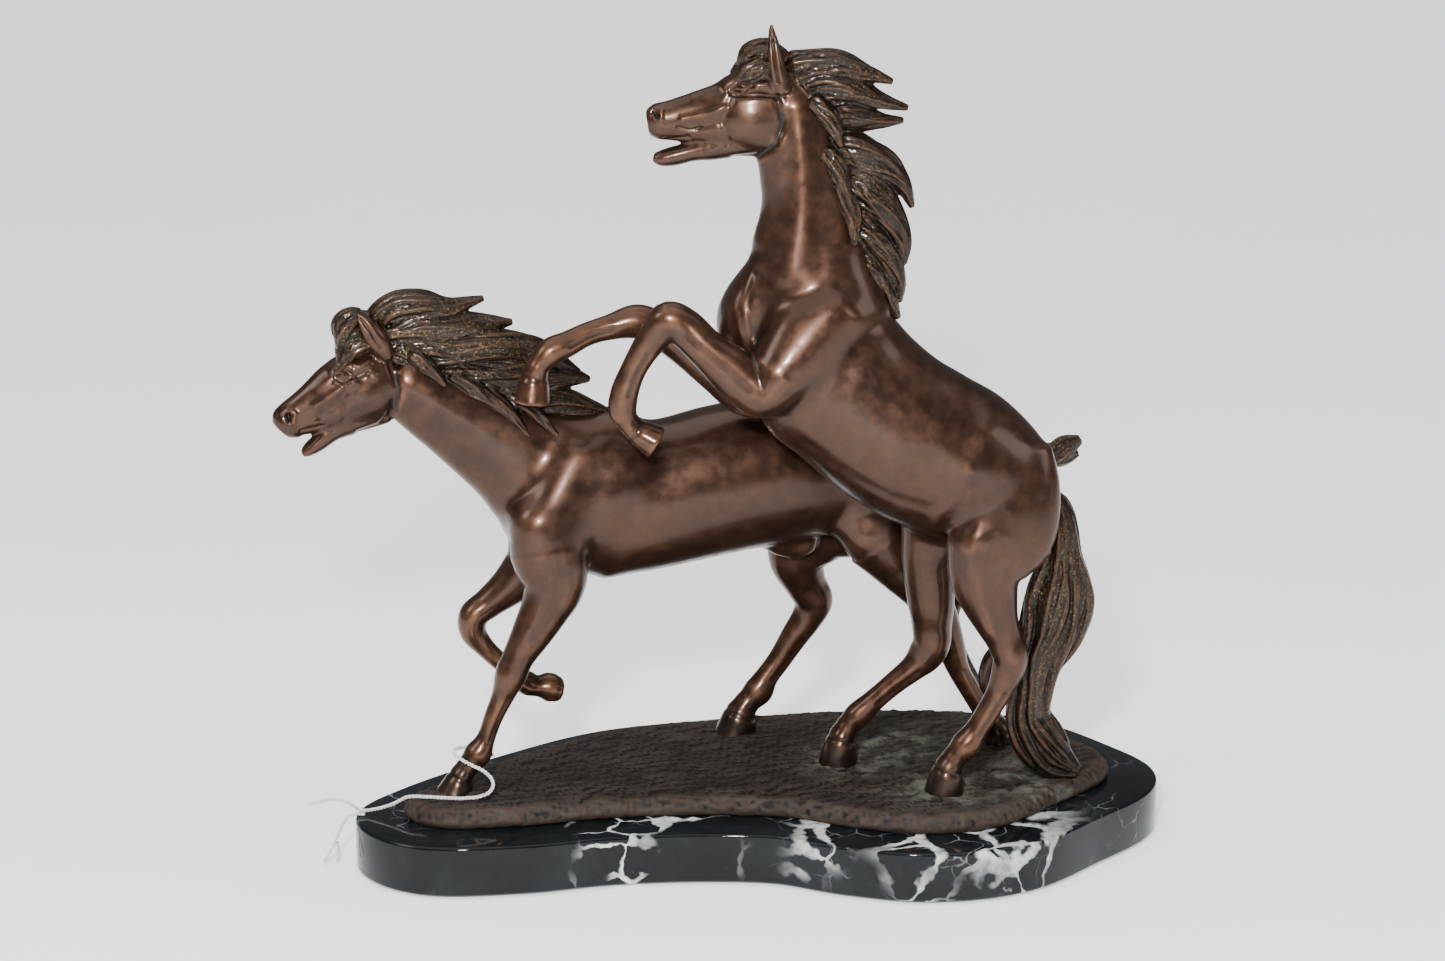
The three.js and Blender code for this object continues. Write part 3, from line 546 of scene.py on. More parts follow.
def fused(mesh: bpy.types.Mesh, voxel: float, rounds: int) -> bpy.types.Mesh:
    """Fuses overlapping closed forms into one skin and relaxes it.

    Args:
        mesh: The closed forms, which are dropped.
        voxel: Edge of the cubes that the forms are read in.
        rounds: Rounds of smoothing.

    Returns:
        The skin, without loose crumbs.
    """
    steps = [("REMESH", {"mode": "VOXEL", "voxel_size": voxel})]
    if rounds:
        steps.append(("SMOOTH", {"factor": 0.5, "iterations": rounds}))
    return main_shell(evaluated(mesh, steps))


def main_shell(mesh: bpy.types.Mesh) -> bpy.types.Mesh:
    """Keeps only the biggest connected shell of a mesh.

    Args:
        mesh: The mesh, which is dropped.

    Returns:
        The shell as a new mesh.
    """
    form = bmesh.new()
    form.from_mesh(mesh)
    bpy.data.meshes.remove(mesh)
    form.faces.ensure_lookup_table()
    unseen = set(form.faces)
    shells = []
    while unseen:
        shell = flooded(next(iter(unseen)), set())
        unseen -= shell
        shells.append(shell)
    biggest = max(shells, key=len)
    stray = [face for shell in shells if shell is not biggest for face in shell]
    bmesh.ops.delete(form, geom=stray, context="FACES")
    return into_mesh(form)


def flooded(start: bmesh.types.BMFace, fence: set) -> set:
    """Finds all faces reached from a face without crossing a fence.

    Args:
        start: The face to start from.
        fence: Edges that aren't crossed.

    Returns:
        The faces reached.
    """
    reached = {start}
    front = [start]
    while front:
        for edge in front.pop().edges:
            if edge in fence:
                continue
            for face in edge.link_faces:
                if face not in reached:
                    reached.add(face)
                    front.append(face)
    return reached


def positions_of(mesh: bpy.types.Mesh) -> np.ndarray:
    """Reads a mesh's points.

    Args:
        mesh: The mesh.

    Returns:
        One row for each point.
    """
    flat = np.empty(len(mesh.vertices) * 3)
    mesh.vertices.foreach_get("co", flat)
    return flat.reshape(-1, 3)


def normals_of(mesh: bpy.types.Mesh) -> np.ndarray:
    """Reads a mesh's point normals.

    Args:
        mesh: The mesh.

    Returns:
        One row for each point.
    """
    flat = np.empty(len(mesh.vertices) * 3, dtype=np.float32)
    mesh.vertex_normals.foreach_get("vector", flat)
    return flat.reshape(-1, 3).astype(float)


def move_points(mesh: bpy.types.Mesh, positions: np.ndarray) -> None:
    """Writes new places for a mesh's points."""
    mesh.vertices.foreach_set("co", positions.ravel())
    mesh.update()


def relaxed(mesh: bpy.types.Mesh, rounds: int) -> np.ndarray:
    """Finds where a mesh's points come to lie when each is pulled to its neighbours.

    Args:
        mesh: The mesh, which isn't changed.
        rounds: How often they are pulled.

    Returns:
        The new places.
    """
    flat = np.empty(len(mesh.edges) * 2, dtype=np.int32)
    mesh.edges.foreach_get("vertices", flat)
    one, two = flat.reshape(-1, 2).T
    places = positions_of(mesh)
    count = len(places)
    neighbours = np.maximum(np.bincount(one, minlength=count) + np.bincount(two, minlength=count), 1)
    for _ in range(rounds):
        for axis in range(3):
            column = places[:, axis].copy()
            total = np.bincount(one, column[two], count) + np.bincount(two, column[one], count)
            places[:, axis] = 0.5 * column + 0.5 * total / neighbours
    return places


def mark_recesses(mesh: bpy.types.Mesh, fine: float, broad: float) -> None:
    """Stores how deep each point lies in a recess, from -1 on a ridge to 1 in a groove.

    Args:
        mesh: The mesh that gets the attribute.
        fine: Depth in millimetres that counts as 1 at the scale of creases.
        broad: The same at the scale of muscles and locks.
    """
    normals = normals_of(mesh)
    places = positions_of(mesh)
    depth = np.zeros(len(places))
    for rounds, full in ((CREASE_ROUNDS, fine), (MUSCLE_ROUNDS, broad)):
        depth += np.einsum("ij,ij->i", relaxed(mesh, rounds) - places, normals) / full
    layer = mesh.attributes.new("recess", "FLOAT", "POINT")
    layer.data.foreach_set("value", np.clip(depth, -1, 1).astype(np.float32))


def mark_flow(mesh: bpy.types.Mesh, locks: Locks) -> None:
    """Stores each point's place in its lock, as two distances across it and one along it.

    Args:
        mesh: The fused locks, which get the attribute.
        locks: The section rows of each lock.
    """
    lines = [sections(rows, LOCK_STEP) for rows in locks]
    middles = np.vstack([line[0] for line in lines])
    axes = np.vstack([line[2] for line in lines])
    runs = np.concatenate([LOCK_STEP * np.arange(len(line[0])) + LOCK_SHIFT * index
                           for index, line in enumerate(lines)])
    tree = KDTree(len(middles))
    for index, middle in enumerate(middles):
        tree.insert(middle, index)
    tree.balance()
    places = positions_of(mesh)
    nearest = np.array([tree.find(place)[1] for place in places])
    offset = places - middles[nearest]
    across = np.einsum("ij,ikj->ik", offset, axes[nearest, :2])
    flow = np.column_stack([across, runs[nearest]]).astype(np.float32)
    mesh.attributes.new("flow", "FLOAT_VECTOR", "POINT").data.foreach_set("vector", flow.ravel())


def frame_matrix(place: tuple[float, float], turn: float, level: float) -> Matrix:
    """The move from millimetres in a piece's own frame to metres over the floor.

    Args:
        place: Where the frame's middle lies on the floor.
        turn: Turn about the upright.
        level: Height of the frame's foot.

    Returns:
        The move.
    """
    shift = Matrix.Translation((place[0] * MM, place[1] * MM, level * MM))
    return shift @ Matrix.Rotation(turn, 4, "Z") @ Matrix.Scale(MM, 4)


def finished(mesh: bpy.types.Mesh, name: str, place: Matrix, look: bpy.types.Material, slot: Slot,
             *nodes: str) -> bpy.types.Object:
    """Makes a mesh a piece of the group.

    Args:
        mesh: The mesh in millimetres, in its own frame.
        name: The piece's name.
        place: The move to metres over the floor.
        look: The piece's material.
        slot: The record's slot for it; not used.
        nodes: The solids that it stands for.

    Returns:
        The piece's object.
    """
    mesh.transform(place)
    mesh.materials.clear()
    mesh.materials.append(look)
    mesh.name = name
    piece = bpy.data.objects.new(name, mesh)
    bpy.context.scene.collection.objects.link(piece)
    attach(piece, BODY)
    if nodes:
        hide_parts(*nodes)
    LOG.info("%s: %d faces", name, len(mesh.polygons))
    return piece


def shaded_smooth(mesh: bpy.types.Mesh) -> bpy.types.Mesh:
    """Sets smooth shading on all faces."""
    mesh.polygons.foreach_set("use_smooth", [True] * len(mesh.polygons))
    return mesh


def tube_curve(name: str, roundness: int) -> bpy.types.Curve:
    """Starts a curve whose lines become closed tubes.

    Args:
        name: The curve's name.
        roundness: Steps in each quarter of a tube.

    Returns:
        The empty curve.
    """
    curve = bpy.data.curves.new(name, "CURVE")
    curve.dimensions = "3D"
    curve.bevel_depth = 1.0
    curve.bevel_resolution = roundness
    curve.use_fill_caps = True
    return curve


def add_tube(curve: bpy.types.Curve, points: np.ndarray, radii: np.ndarray) -> None:
    """Adds one tube to a curve.

    Args:
        curve: The curve.
        points: Points along the tube's middle.
        radii: Its radius at each of them.
    """
    line = curve.splines.new("POLY")
    line.points.add(len(points) - 1)
    line.points.foreach_set("co", np.column_stack([points, np.ones(len(points))]).ravel())
    line.points.foreach_set("radius", radii)


# ---- finishes -----------------------------------------------------------------------------------


class Graph:
    """A material's node tree, with short ways to add and join nodes."""

    FIRST_COLOUR = 6
    SECOND_COLOUR = 7
    MIXED_COLOUR = 2

    def __init__(self, name: str) -> None:
        """Starts an empty material with its shader and output.

        Args:
            name: The material's name.
        """
        self.material = bpy.data.materials.new(name)
        self.material.use_nodes = True
        self.tree = self.material.node_tree
        self.tree.nodes.clear()
        self.shader = self.tree.nodes.new("ShaderNodeBsdfPrincipled")
        output = self.tree.nodes.new("ShaderNodeOutputMaterial")
        self.join(self.shader.outputs["BSDF"], output.inputs["Surface"])
        self.place = self.tree.nodes.new("ShaderNodeTexCoord").outputs["Object"]

    def join(self, source: bpy.types.NodeSocket, target: bpy.types.NodeSocket) -> None:
        """Links two sockets."""
        self.tree.links.new(source, target)

    def feed(self, socket: bpy.types.NodeSocket, value: object) -> None:
        """Links a socket, or sets its plain value.

        Args:
            socket: The socket that is fed.
            value: Another socket, or a number or colour.
        """
        if isinstance(value, bpy.types.NodeSocket):
            self.join(value, socket)
        else:
            socket.default_value = value

    def setting(self, **values: object) -> None:
        """Sets the shader's own numbers and colours; underscores stand for spaces."""
        for key, value in values.items():
            self.feed(self.shader.inputs[key.replace("_", " ")], value)

    def stretched(self, scale: tuple[float, float, float], turn: float = 0.0) -> bpy.types.NodeSocket:
        """Object coordinates, turned about Z and stretched.

        Args:
            scale: Factor on each coordinate.
            turn: Turn about Z.

        Returns:
            The coordinates' socket.
        """
        node = self.tree.nodes.new("ShaderNodeMapping")
        self.join(self.place, node.inputs["Vector"])
        node.inputs["Scale"].default_value = scale
        node.inputs["Rotation"].default_value = (0, 0, turn)
        return node.outputs["Vector"]

    def noise(self, scale: float, detail: float = 3, roughness: float = 0.5,
              vector: bpy.types.NodeSocket | None = None, distortion: float = 0) -> bpy.types.NodeSocket:
        """A noise value, between 0 and 1.

        Args:
            scale: Waves to the metre.
            detail: How many finer layers lie on it.
            roughness: How strong the finer layers are.
            vector: Coordinates other than the object's own.
            distortion: How far it is pulled about.

        Returns:
            The value's socket.
        """
        node = self.tree.nodes.new("ShaderNodeTexNoise")
        self.join(vector or self.place, node.inputs["Vector"])
        for key, value in (("Scale", scale), ("Detail", detail), ("Roughness", roughness),
                           ("Distortion", distortion)):
            node.inputs[key].default_value = value
        return node.outputs["Fac"]

    def cells(self, scale: float, vector: bpy.types.NodeSocket, feature: str) -> bpy.types.NodeSocket:
        """A cell pattern's distance.

        Args:
            scale: Cells to the metre.
            vector: Coordinates that it is read at.
            feature: What the distance is measured to.

        Returns:
            The distance's socket.
        """
        node = self.tree.nodes.new("ShaderNodeTexVoronoi")
        node.feature = feature
        self.join(vector, node.inputs["Vector"])
        node.inputs["Scale"].default_value = scale
        return node.outputs["Distance"]

    def attribute(self, name: str) -> bpy.types.NodeSocket:
        """A point attribute's value.

        Args:
            name: The attribute's name.

        Returns:
            The value's socket.
        """
        node = self.tree.nodes.new("ShaderNodeAttribute")
        node.attribute_name = name
        return node.outputs["Fac"]

    def fibres(self, across: float, along: float) -> bpy.types.NodeSocket:
        """Noise drawn out along the locks of hair.

        Args:
            across: Waves to the millimetre across a lock.
            along: Waves to the millimetre along it.

        Returns:
            The value's socket.
        """
        source = self.tree.nodes.new("ShaderNodeAttribute")
        source.attribute_name = "flow"
        node = self.tree.nodes.new("ShaderNodeMapping")
        self.join(source.outputs["Vector"], node.inputs["Vector"])
        node.inputs["Scale"].default_value = (across, across, along)
        return self.noise(1.0, 3, 0.6, node.outputs["Vector"], 0.4)

    def span(self, value: bpy.types.NodeSocket, low: float, high: float, first: float = 0.0,
             last: float = 1.0) -> bpy.types.NodeSocket:
        """Maps a stretch of values to another one, held at both ends.

        Args:
            value: The value that is mapped.
            low: Where the stretch starts.
            high: Where it ends.
            first: What comes out at its start.
            last: What comes out at its end.

        Returns:
            The mapped value's socket.
        """
        node = self.tree.nodes.new("ShaderNodeMapRange")
        node.interpolation_type = "SMOOTHSTEP"
        self.join(value, node.inputs["Value"])
        for key, number in (("From Min", low), ("From Max", high), ("To Min", first), ("To Max", last)):
            node.inputs[key].default_value = number
        return node.outputs["Result"]

    def math(self, operation: str, one: object, two: object = 0.0) -> bpy.types.NodeSocket:
        """One calculation on two values.

        Args:
            operation: Its kind.
            one: First value, a number or a socket.
            two: Second value.

        Returns:
            The result's socket.
        """
        node = self.tree.nodes.new("ShaderNodeMath")
        node.operation = operation
        self.feed(node.inputs[0], one)
        self.feed(node.inputs[1], two)
        return node.outputs[0]

    def mix(self, share: object, one: object, two: object) -> bpy.types.NodeSocket:
        """A colour between two colours.

        Args:
            share: How much of the second colour.
            one: First colour.
            two: Second colour.

        Returns:
            The colour's socket.
        """
        node = self.tree.nodes.new("ShaderNodeMix")
        node.data_type = "RGBA"
        self.feed(node.inputs["Factor"], share)
        self.feed(node.inputs[self.FIRST_COLOUR], one)
        self.feed(node.inputs[self.SECOND_COLOUR], two)
        return node.outputs[self.MIXED_COLOUR]

    def shifted(self, strength: float, scale: float) -> bpy.types.NodeSocket:
        """Object coordinates pushed about by noise, for wandering lines.

        Args:
            strength: How far they are pushed, in metres.
            scale: Waves to the metre.

        Returns:
            The coordinates' socket.
        """
        node = self.tree.nodes.new("ShaderNodeTexNoise")
        self.join(self.place, node.inputs["Vector"])
        node.inputs["Scale"].default_value = scale
        node.inputs["Detail"].default_value = 4
        centred = self.tree.nodes.new("ShaderNodeVectorMath")
        centred.operation = "SUBTRACT"
        self.join(node.outputs["Color"], centred.inputs[0])
        centred.inputs[1].default_value = (0.5, 0.5, 0.5)
        push = self.tree.nodes.new("ShaderNodeVectorMath")
        push.operation = "MULTIPLY_ADD"
        self.join(centred.outputs[0], push.inputs[0])
        push.inputs[1].default_value = (strength, strength, strength)
        self.join(self.place, push.inputs[2])
        return push.outputs[0]

    def near(self, point: tuple[float, float, float], full: float, none: float) -> bpy.types.NodeSocket:
        """A value that falls off round a point.

        Args:
            point: The point.
            full: Distance up to which it is 1.
            none: Distance from which it is 0.

        Returns:
            The value's socket.
        """
        node = self.tree.nodes.new("ShaderNodeVectorMath")
        node.operation = "DISTANCE"
        self.join(self.place, node.inputs[0])
        node.inputs[1].default_value = point
        return self.span(node.outputs["Value"], full, none, 1.0, 0.0)

    def axis(self, letter: str) -> bpy.types.NodeSocket:
        """One of the object coordinates.

        Args:
            letter: Its axis.

        Returns:
            The coordinate's socket.
        """
        node = self.tree.nodes.new("ShaderNodeSeparateXYZ")
        self.join(self.place, node.inputs[0])
        return node.outputs[letter]

    def bump(self, height: bpy.types.NodeSocket, strength: float, distance: float) -> None:
        """Gives the surface a relief, on top of any it has.

        Args:
            height: The relief's height, between 0 and 1.
            strength: How strongly it shows.
            distance: Its full height, in metres.
        """
        node = self.tree.nodes.new("ShaderNodeBump")
        node.inputs["Strength"].default_value = strength
        node.inputs["Distance"].default_value = distance
        self.join(height, node.inputs["Height"])
        target = self.shader.inputs["Normal"]
        if target.is_linked:
            self.join(target.links[0].from_socket, node.inputs["Normal"])
        self.join(node.outputs["Normal"], target)


Colour = tuple[float, float, float, float]


@dataclass(frozen=True)
class Patina:
    """Lacquered brown bronze, dark in its recesses from patina and painted shade, and rubbed warm on its
    ridges.

    Attributes:
        name: The material's name.
        shade: Darker clouds of the patina.
        body: Lighter clouds.
        worn: Bare metal on rubbed ridges.
        grime_and_shade: Dirt and dark patina in recesses and pits, and painted shade in recesses, in the
            hair's fibre grooves and low down near the ground.
        gold: Small bright flecks.
        gold_share: How much the flecks show.
        roughness: Roughness of the rubbed metal.
        grain: Strength of the finest relief.
        hairy: Whether fibres run along locks of hair.
        shaded_below: Height up to which painted shade darkens the bronze towards the ground, in metres.
        unshaded_above: Height from which there is no painted shade.
        fibres: Waves to the millimetre across and along a lock.
    """

    name: str
    shade: Colour = (0.030, 0.0152, 0.0102, 1)
    body: Colour = (0.054, 0.0262, 0.0160, 1)
    worn: Colour = (0.165, 0.073, 0.036, 1)
    grime_and_shade: Colour = (0.012, 0.0125, 0.0105, 1)
    gold: Colour = (0.26, 0.19, 0.080, 1)
    gold_share: float = 0.0
    roughness: float = 0.33
    grain: float = 0.12
    hairy: bool = False
    shaded_below: float = 0.037
    unshaded_above: float = 0.060
    fibres: tuple[float, float] = (0.62, 0.055)

    def material(self) -> bpy.types.Material:
        """Builds the bronze's material.

        Returns:
            The material.
        """
        graph = Graph(self.name)
        recess = graph.attribute("recess")
        clouds = graph.noise(26, 4, 0.55)
        mottle = graph.noise(150, 3, 0.6)
        colour = graph.mix(graph.span(clouds, 0.15, 0.70), self.shade, self.body)
        colour = graph.mix(graph.span(mottle, 0.35, 0.75, 0.0, 0.16), colour, self.worn)
        ridge = graph.span(recess, -0.05, -0.85)
        rubbed = graph.math("MULTIPLY", ridge, graph.span(mottle, 0.25, 0.7, 0.25, 0.95))
        colour = graph.mix(rubbed, colour, self.worn)
        # Painted shade: the bronze is darker towards the ground, at the hooves and the hair's lowest tips.
        low_shade = graph.span(graph.axis("Z"), self.shaded_below, self.unshaded_above, 0.6, 0.0)
        colour = graph.mix(low_shade, colour, self.grime_and_shade)
        # Recesses darken: partly dark patina and dirt, partly painted shade in the creases between masses.
        groove = graph.span(recess, 0.12, 0.95, 0.0, 0.85)
        colour = graph.mix(groove, colour, self.grime_and_shade)
        if self.hairy:
            fibre = graph.fibres(*self.fibres)
            colour = graph.mix(graph.span(fibre, 0.54, 0.66, 0.0, 0.65), colour, self.worn)
            # Painted shade and dirt in the grooves between the hair's fibres, following the fibre relief.
            colour = graph.mix(graph.span(fibre, 0.46, 0.36, 0.0, 0.9), colour, self.grime_and_shade)
        speck = graph.noise(900, 2, 0.6)
        flecks = graph.math("MULTIPLY", graph.span(speck, 0.55, 0.66), graph.span(clouds, 0.3, 0.7))
        colour = graph.mix(graph.math("MULTIPLY", flecks, self.gold_share), colour, self.gold)
        pits = graph.span(graph.noise(420, 2, 0.5), 0.68, 0.76)
        colour = graph.mix(graph.math("MULTIPLY", pits, 0.45), colour, self.grime_and_shade)
        rubbed_rough = graph.span(mottle, 0.3, 0.7, self.roughness - 0.05, self.roughness + 0.09)
        rough = graph.math("ADD", rubbed_rough, graph.math("MULTIPLY", groove, 0.22))
        graph.setting(Base_Color=colour, Roughness=rough, Metallic=0.75)
        graph.setting(Coat_Weight=0.30, Coat_Roughness=0.15, Specular_IOR_Level=0.3)
        if self.hairy:
            graph.bump(graph.fibres(*self.fibres), 0.75, 0.0016)
        graph.bump(graph.noise(1400, 3, 0.6), self.grain, 0.0002)
        graph.bump(graph.noise(120, 3, 0.5), 0.12, 0.0006)
        return graph.material


@dataclass(frozen=True)
class GroundBronze:
    """Rough cast bronze, streaked along the group and crusted grey where the hooves stand.

    Attributes:
        shade: Darker streaks.
        body: Lighter streaks.
        ridge: Rubbed crests of the chiselling.
        crevice: Darker colour in the recesses between them.
        dust: Fine pale mottling.
        residue: The grey crust.
        residue_places: Middles of the crust's patches, in metres.
        residue_full: Distance from a middle up to which the crust is whole.
        residue_none: Distance from which there is none.
    """

    shade: Colour = (0.018, 0.0163, 0.0145, 1)
    body: Colour = (0.052, 0.0435, 0.038, 1)
    ridge: Colour = (0.060, 0.036, 0.025, 1)
    crevice: Colour = (0.012, 0.010, 0.008, 1)
    dust: Colour = (0.055, 0.042, 0.034, 1)
    residue: Colour = (0.23, 0.24, 0.20, 1)
    residue_places: tuple[tuple[float, float, float], ...] = (
        (0.088, -0.044, 0.034), (0.045, -0.002, 0.034), (0.125, -0.030, 0.034), (0.062, 0.020, 0.034),
    )
    residue_full: float = 0.006
    residue_none: float = 0.040

    def material(self) -> bpy.types.Material:
        """Builds the ground's material.

        Returns:
            The material.
        """
        graph = Graph("ground_patina")
        recess = graph.attribute("recess")
        streaks = graph.noise(34, 5, 0.7, graph.stretched((1, 2, 2), 0.12))
        mottle = graph.noise(210, 4, 0.65)
        colour = graph.mix(graph.span(streaks, 0.35, 0.68), self.shade, self.body)
        colour = graph.mix(graph.span(recess, 0.0, -0.8, 0.0, 0.5), colour, self.ridge)
        colour = graph.mix(graph.span(recess, 0.1, 0.7), colour, self.crevice)
        colour = graph.mix(graph.span(mottle, 0.55, 0.72, 0.0, 0.4), colour, self.dust)
        crust = graph.near(self.residue_places[0], self.residue_full, self.residue_none)
        for place in self.residue_places[1:]:
            patch = graph.near(place, self.residue_full, self.residue_none)
            crust = graph.math("MAXIMUM", crust, patch)
        crust = graph.math("MULTIPLY", crust, graph.span(graph.noise(95, 5, 0.7), 0.42, 0.66))
        colour = graph.mix(graph.math("MULTIPLY", crust, 0.5), colour, self.residue)
        bare_rough = graph.span(mottle, 0.3, 0.7, 0.58, 0.74)
        rough = graph.math("ADD", bare_rough, graph.math("MULTIPLY", crust, 0.14))
        graph.setting(Base_Color=colour, Roughness=rough, Metallic=0.2, Specular_IOR_Level=0.2)
        graph.bump(graph.noise(900, 3, 0.65), 0.35, 0.0003)
        graph.bump(graph.noise(170, 5, 0.65), 0.5, 0.0012)
        return graph.material


@dataclass(frozen=True)
class Marble:
    """Polished black marble with a few broad white veins and many hair-thin ones.

    Attributes:
        black: Its darkest clouds.
        blue_black: Its lighter clouds.
        grey_vein: The duller parts of a vein.
        white_vein: The brightest parts.
    """

    black: Colour = (0.0035, 0.0048, 0.0056, 1)
    blue_black: Colour = (0.010, 0.0135, 0.0155, 1)
    grey_vein: Colour = (0.30, 0.32, 0.32, 1)
    white_vein: Colour = (0.80, 0.80, 0.77, 1)

    def veins(self, graph: Graph, scale: float, width: float, bend: float) -> bpy.types.NodeSocket:
        """Branching lines of one size.

        Args:
            graph: The material's nodes.
            scale: Meshes of the lines' net to the metre.
            width: Width of the lines as a share of a mesh.
            bend: How far they wander, in metres.

        Returns:
            A value that is 1 in a vein and 0 outside.
        """
        lines = graph.cells(scale, graph.shifted(bend, scale * 0.8), "DISTANCE_TO_EDGE")
        body = graph.span(graph.noise(scale * 2.2, 3, 0.6), 0.35, 0.7, 0.15, 1.0)
        gap = graph.math("DIVIDE", lines, graph.math("MULTIPLY", body, width))
        return graph.span(gap, 0.35, 1.0, 1.0, 0.0)

    def material(self) -> bpy.types.Material:
        """Builds the marble's material.

        Returns:
            The material.
        """
        graph = Graph("veined_marble")
        along = graph.axis("X")
        clouds = graph.noise(30, 5, 0.65, graph.shifted(0.02, 20))
        colour = graph.mix(graph.span(clouds, 0.35, 0.75), self.black, self.blue_black)
        thick_zone = graph.math("MULTIPLY", graph.span(along, 0.008, 0.030), graph.span(along, 0.160, 0.120))
        thick = graph.math("MULTIPLY", self.veins(graph, 30, 0.125, 0.030), thick_zone)
        thick = graph.math("MULTIPLY", thick, graph.span(graph.noise(17, 2, 0.5), 0.42, 0.56))
        some_zone = graph.math("MULTIPLY", graph.span(along, -0.095, -0.075), graph.span(along, 0.0, -0.025))
        some = graph.math("MULTIPLY", self.veins(graph, 38, 0.10, 0.030), some_zone)
        some = graph.math("MULTIPLY", some, graph.span(graph.noise(23, 2, 0.5), 0.44, 0.54))
        thin = self.veins(graph, 52, 0.035, 0.022)
        thin = graph.math("MULTIPLY", thin, graph.span(graph.noise(14), 0.52, 0.66, 0, 0.35))
        white = graph.math("MAXIMUM", thick, graph.math("MAXIMUM", some, thin))
        chalky = graph.span(graph.noise(160, 4, 0.6), 0.3, 0.7)
        colour = graph.mix(white, colour, graph.mix(chalky, self.grey_vein, self.white_vein))
        graph.setting(Base_Color=colour, Roughness=graph.span(white, 0.0, 1.0, 0.075, 0.17))
        graph.setting(Coat_Weight=0.0, Specular_IOR_Level=0.24)
        graph.bump(graph.noise(70, 2, 0.5), 0.03, 0.0005)
        return graph.material


@dataclass(frozen=True)
class Felt:
    """Green-black wool felt glued under the marble.

    Attributes:
        dark: Its darker fibres.
        light: Its lighter fibres.
        faded: Its faded patches.
    """

    dark: Colour = (0.010, 0.014, 0.012, 1)
    light: Colour = (0.032, 0.040, 0.035, 1)
    faded: Colour = (0.036, 0.042, 0.038, 1)

    def material(self) -> bpy.types.Material:
        """Builds the felt's material.

        Returns:
            The material.
        """
        graph = Graph("wool_felt")
        fibres = graph.noise(1500, 4, 0.7, graph.stretched((1, 0.35, 1), 0.6))
        blotches = graph.noise(60, 3, 0.6)
        colour = graph.mix(graph.span(fibres, 0.3, 0.7), self.dark, self.light)
        colour = graph.mix(graph.span(blotches, 0.4, 0.7, 0.0, 0.4), colour, self.faded)
        graph.setting(Base_Color=colour, Roughness=0.95, Sheen_Weight=0.5, Sheen_Roughness=0.5)
        graph.bump(fibres, 0.5, 0.0004)
        return graph.material


@dataclass(frozen=True)
class ZincSteel:
    """Zinc-plated steel of the studs, nuts and washers.

    Attributes:
        grey: Darker crystals of the plating.
        bright: Brighter crystals.
        dull: Places where it has tarnished.
    """

    grey: Colour = (0.42, 0.43, 0.44, 1)
    bright: Colour = (0.60, 0.61, 0.62, 1)
    dull: Colour = (0.25, 0.22, 0.18, 1)

    def material(self) -> bpy.types.Material:
        """Builds the steel's material.

        Returns:
            The material.
        """
        graph = Graph("zinc_plated_steel")
        spangle = graph.cells(500, graph.place, "F1")
        wear = graph.noise(240, 4, 0.6)
        colour = graph.mix(graph.span(spangle, 0.2, 0.8), self.grey, self.bright)
        colour = graph.mix(graph.span(wear, 0.55, 0.75, 0.0, 0.6), colour, self.dull)
        graph.setting(Base_Color=colour, Metallic=1.0, Roughness=graph.span(wear, 0.3, 0.7, 0.28, 0.48))
        graph.bump(graph.noise(1600, 3, 0.5), 0.15, 0.0002)
        return graph.material


@dataclass(frozen=True)
class Cotton:
    """Off-white cotton yarn.

    Attributes:
        shade: Between its fibres.
        white: The fibres.
        soil: Places that have been handled.
    """

    shade: Colour = (0.50, 0.50, 0.47, 1)
    white: Colour = (0.83, 0.83, 0.80, 1)
    soil: Colour = (0.47, 0.45, 0.39, 1)

    def material(self) -> bpy.types.Material:
        """Builds the yarn's material.

        Returns:
            The material.
        """
        graph = Graph("cotton_yarn")
        fibres = graph.noise(2600, 4, 0.7)
        handled = graph.noise(120, 3, 0.6)
        colour = graph.mix(graph.span(fibres, 0.3, 0.7), self.shade, self.white)
        colour = graph.mix(graph.span(handled, 0.5, 0.8, 0.0, 0.35), colour, self.soil)
        graph.setting(Base_Color=colour, Roughness=0.92, Sheen_Weight=0.3, Sheen_Roughness=0.5)
        graph.bump(fibres, 0.6, 0.0002)
        return graph.material


# ---- carving ------------------------------------------------------------------------------------


@dataclass(frozen=True)
class Stroke:
    """One pull of the modelling tool over a skin.

    Attributes:
        points: Places passed, as (along, up, left).
        width: Reach of the tool.
        height: Clay laid on, or taken off where negative.
        side: The sides of the horse that it is worked on.
    """

    points: Rows
    width: float
    height: float
    side: Side = Side.BOTH

    DEPTH_SHARE = 0.35
    FADE_REACH = 2.6

    def clay(self, places: np.ndarray) -> np.ndarray:
        """How much clay the stroke lays on.

        Args:
            places: The skin's points.

        Returns:
            One thickness for each of them.
        """
        added = np.zeros(len(places))
        squeeze = np.array([1.0, self.DEPTH_SHARE, 1.0])
        for sign in self.side.value:
            path = np.array([(along, -left * sign, up) for along, up, left in self.points]) * squeeze
            reach = self.FADE_REACH * self.width
            scaled = places * squeeze
            close = np.all((scaled > path.min(0) - reach) & (scaled < path.max(0) + reach), axis=1)
            local = scaled[close]
            nearest = np.full(len(local), np.inf)
            for start, end in zip(path, path[1:] if len(path) > 1 else path):
                run = end - start
                share = np.clip((local - start) @ run / max(run @ run, SMALLEST_RUN), 0, 1)
                nearest = np.minimum(nearest, np.linalg.norm(local - start - share[:, None] * run, axis=1))
            added[close] += self.height * np.exp(-((nearest / self.width) ** 2))
        return added


def carved(mesh: bpy.types.Mesh, strokes: Iterable[Stroke]) -> None:
    """Works strokes into a skin, every other one first and then the rest.

    Args:
        mesh: The skin, which is changed.
        strokes: The strokes.
    """
    strokes = list(strokes)
    for batch in (strokes[0::2], strokes[1::2]):
        places = positions_of(mesh)
        normals = normals_of(mesh)
        clay = sum((stroke.clay(places) for stroke in batch), np.zeros(len(places)))
        move_points(mesh, places + normals * clay[:, None])


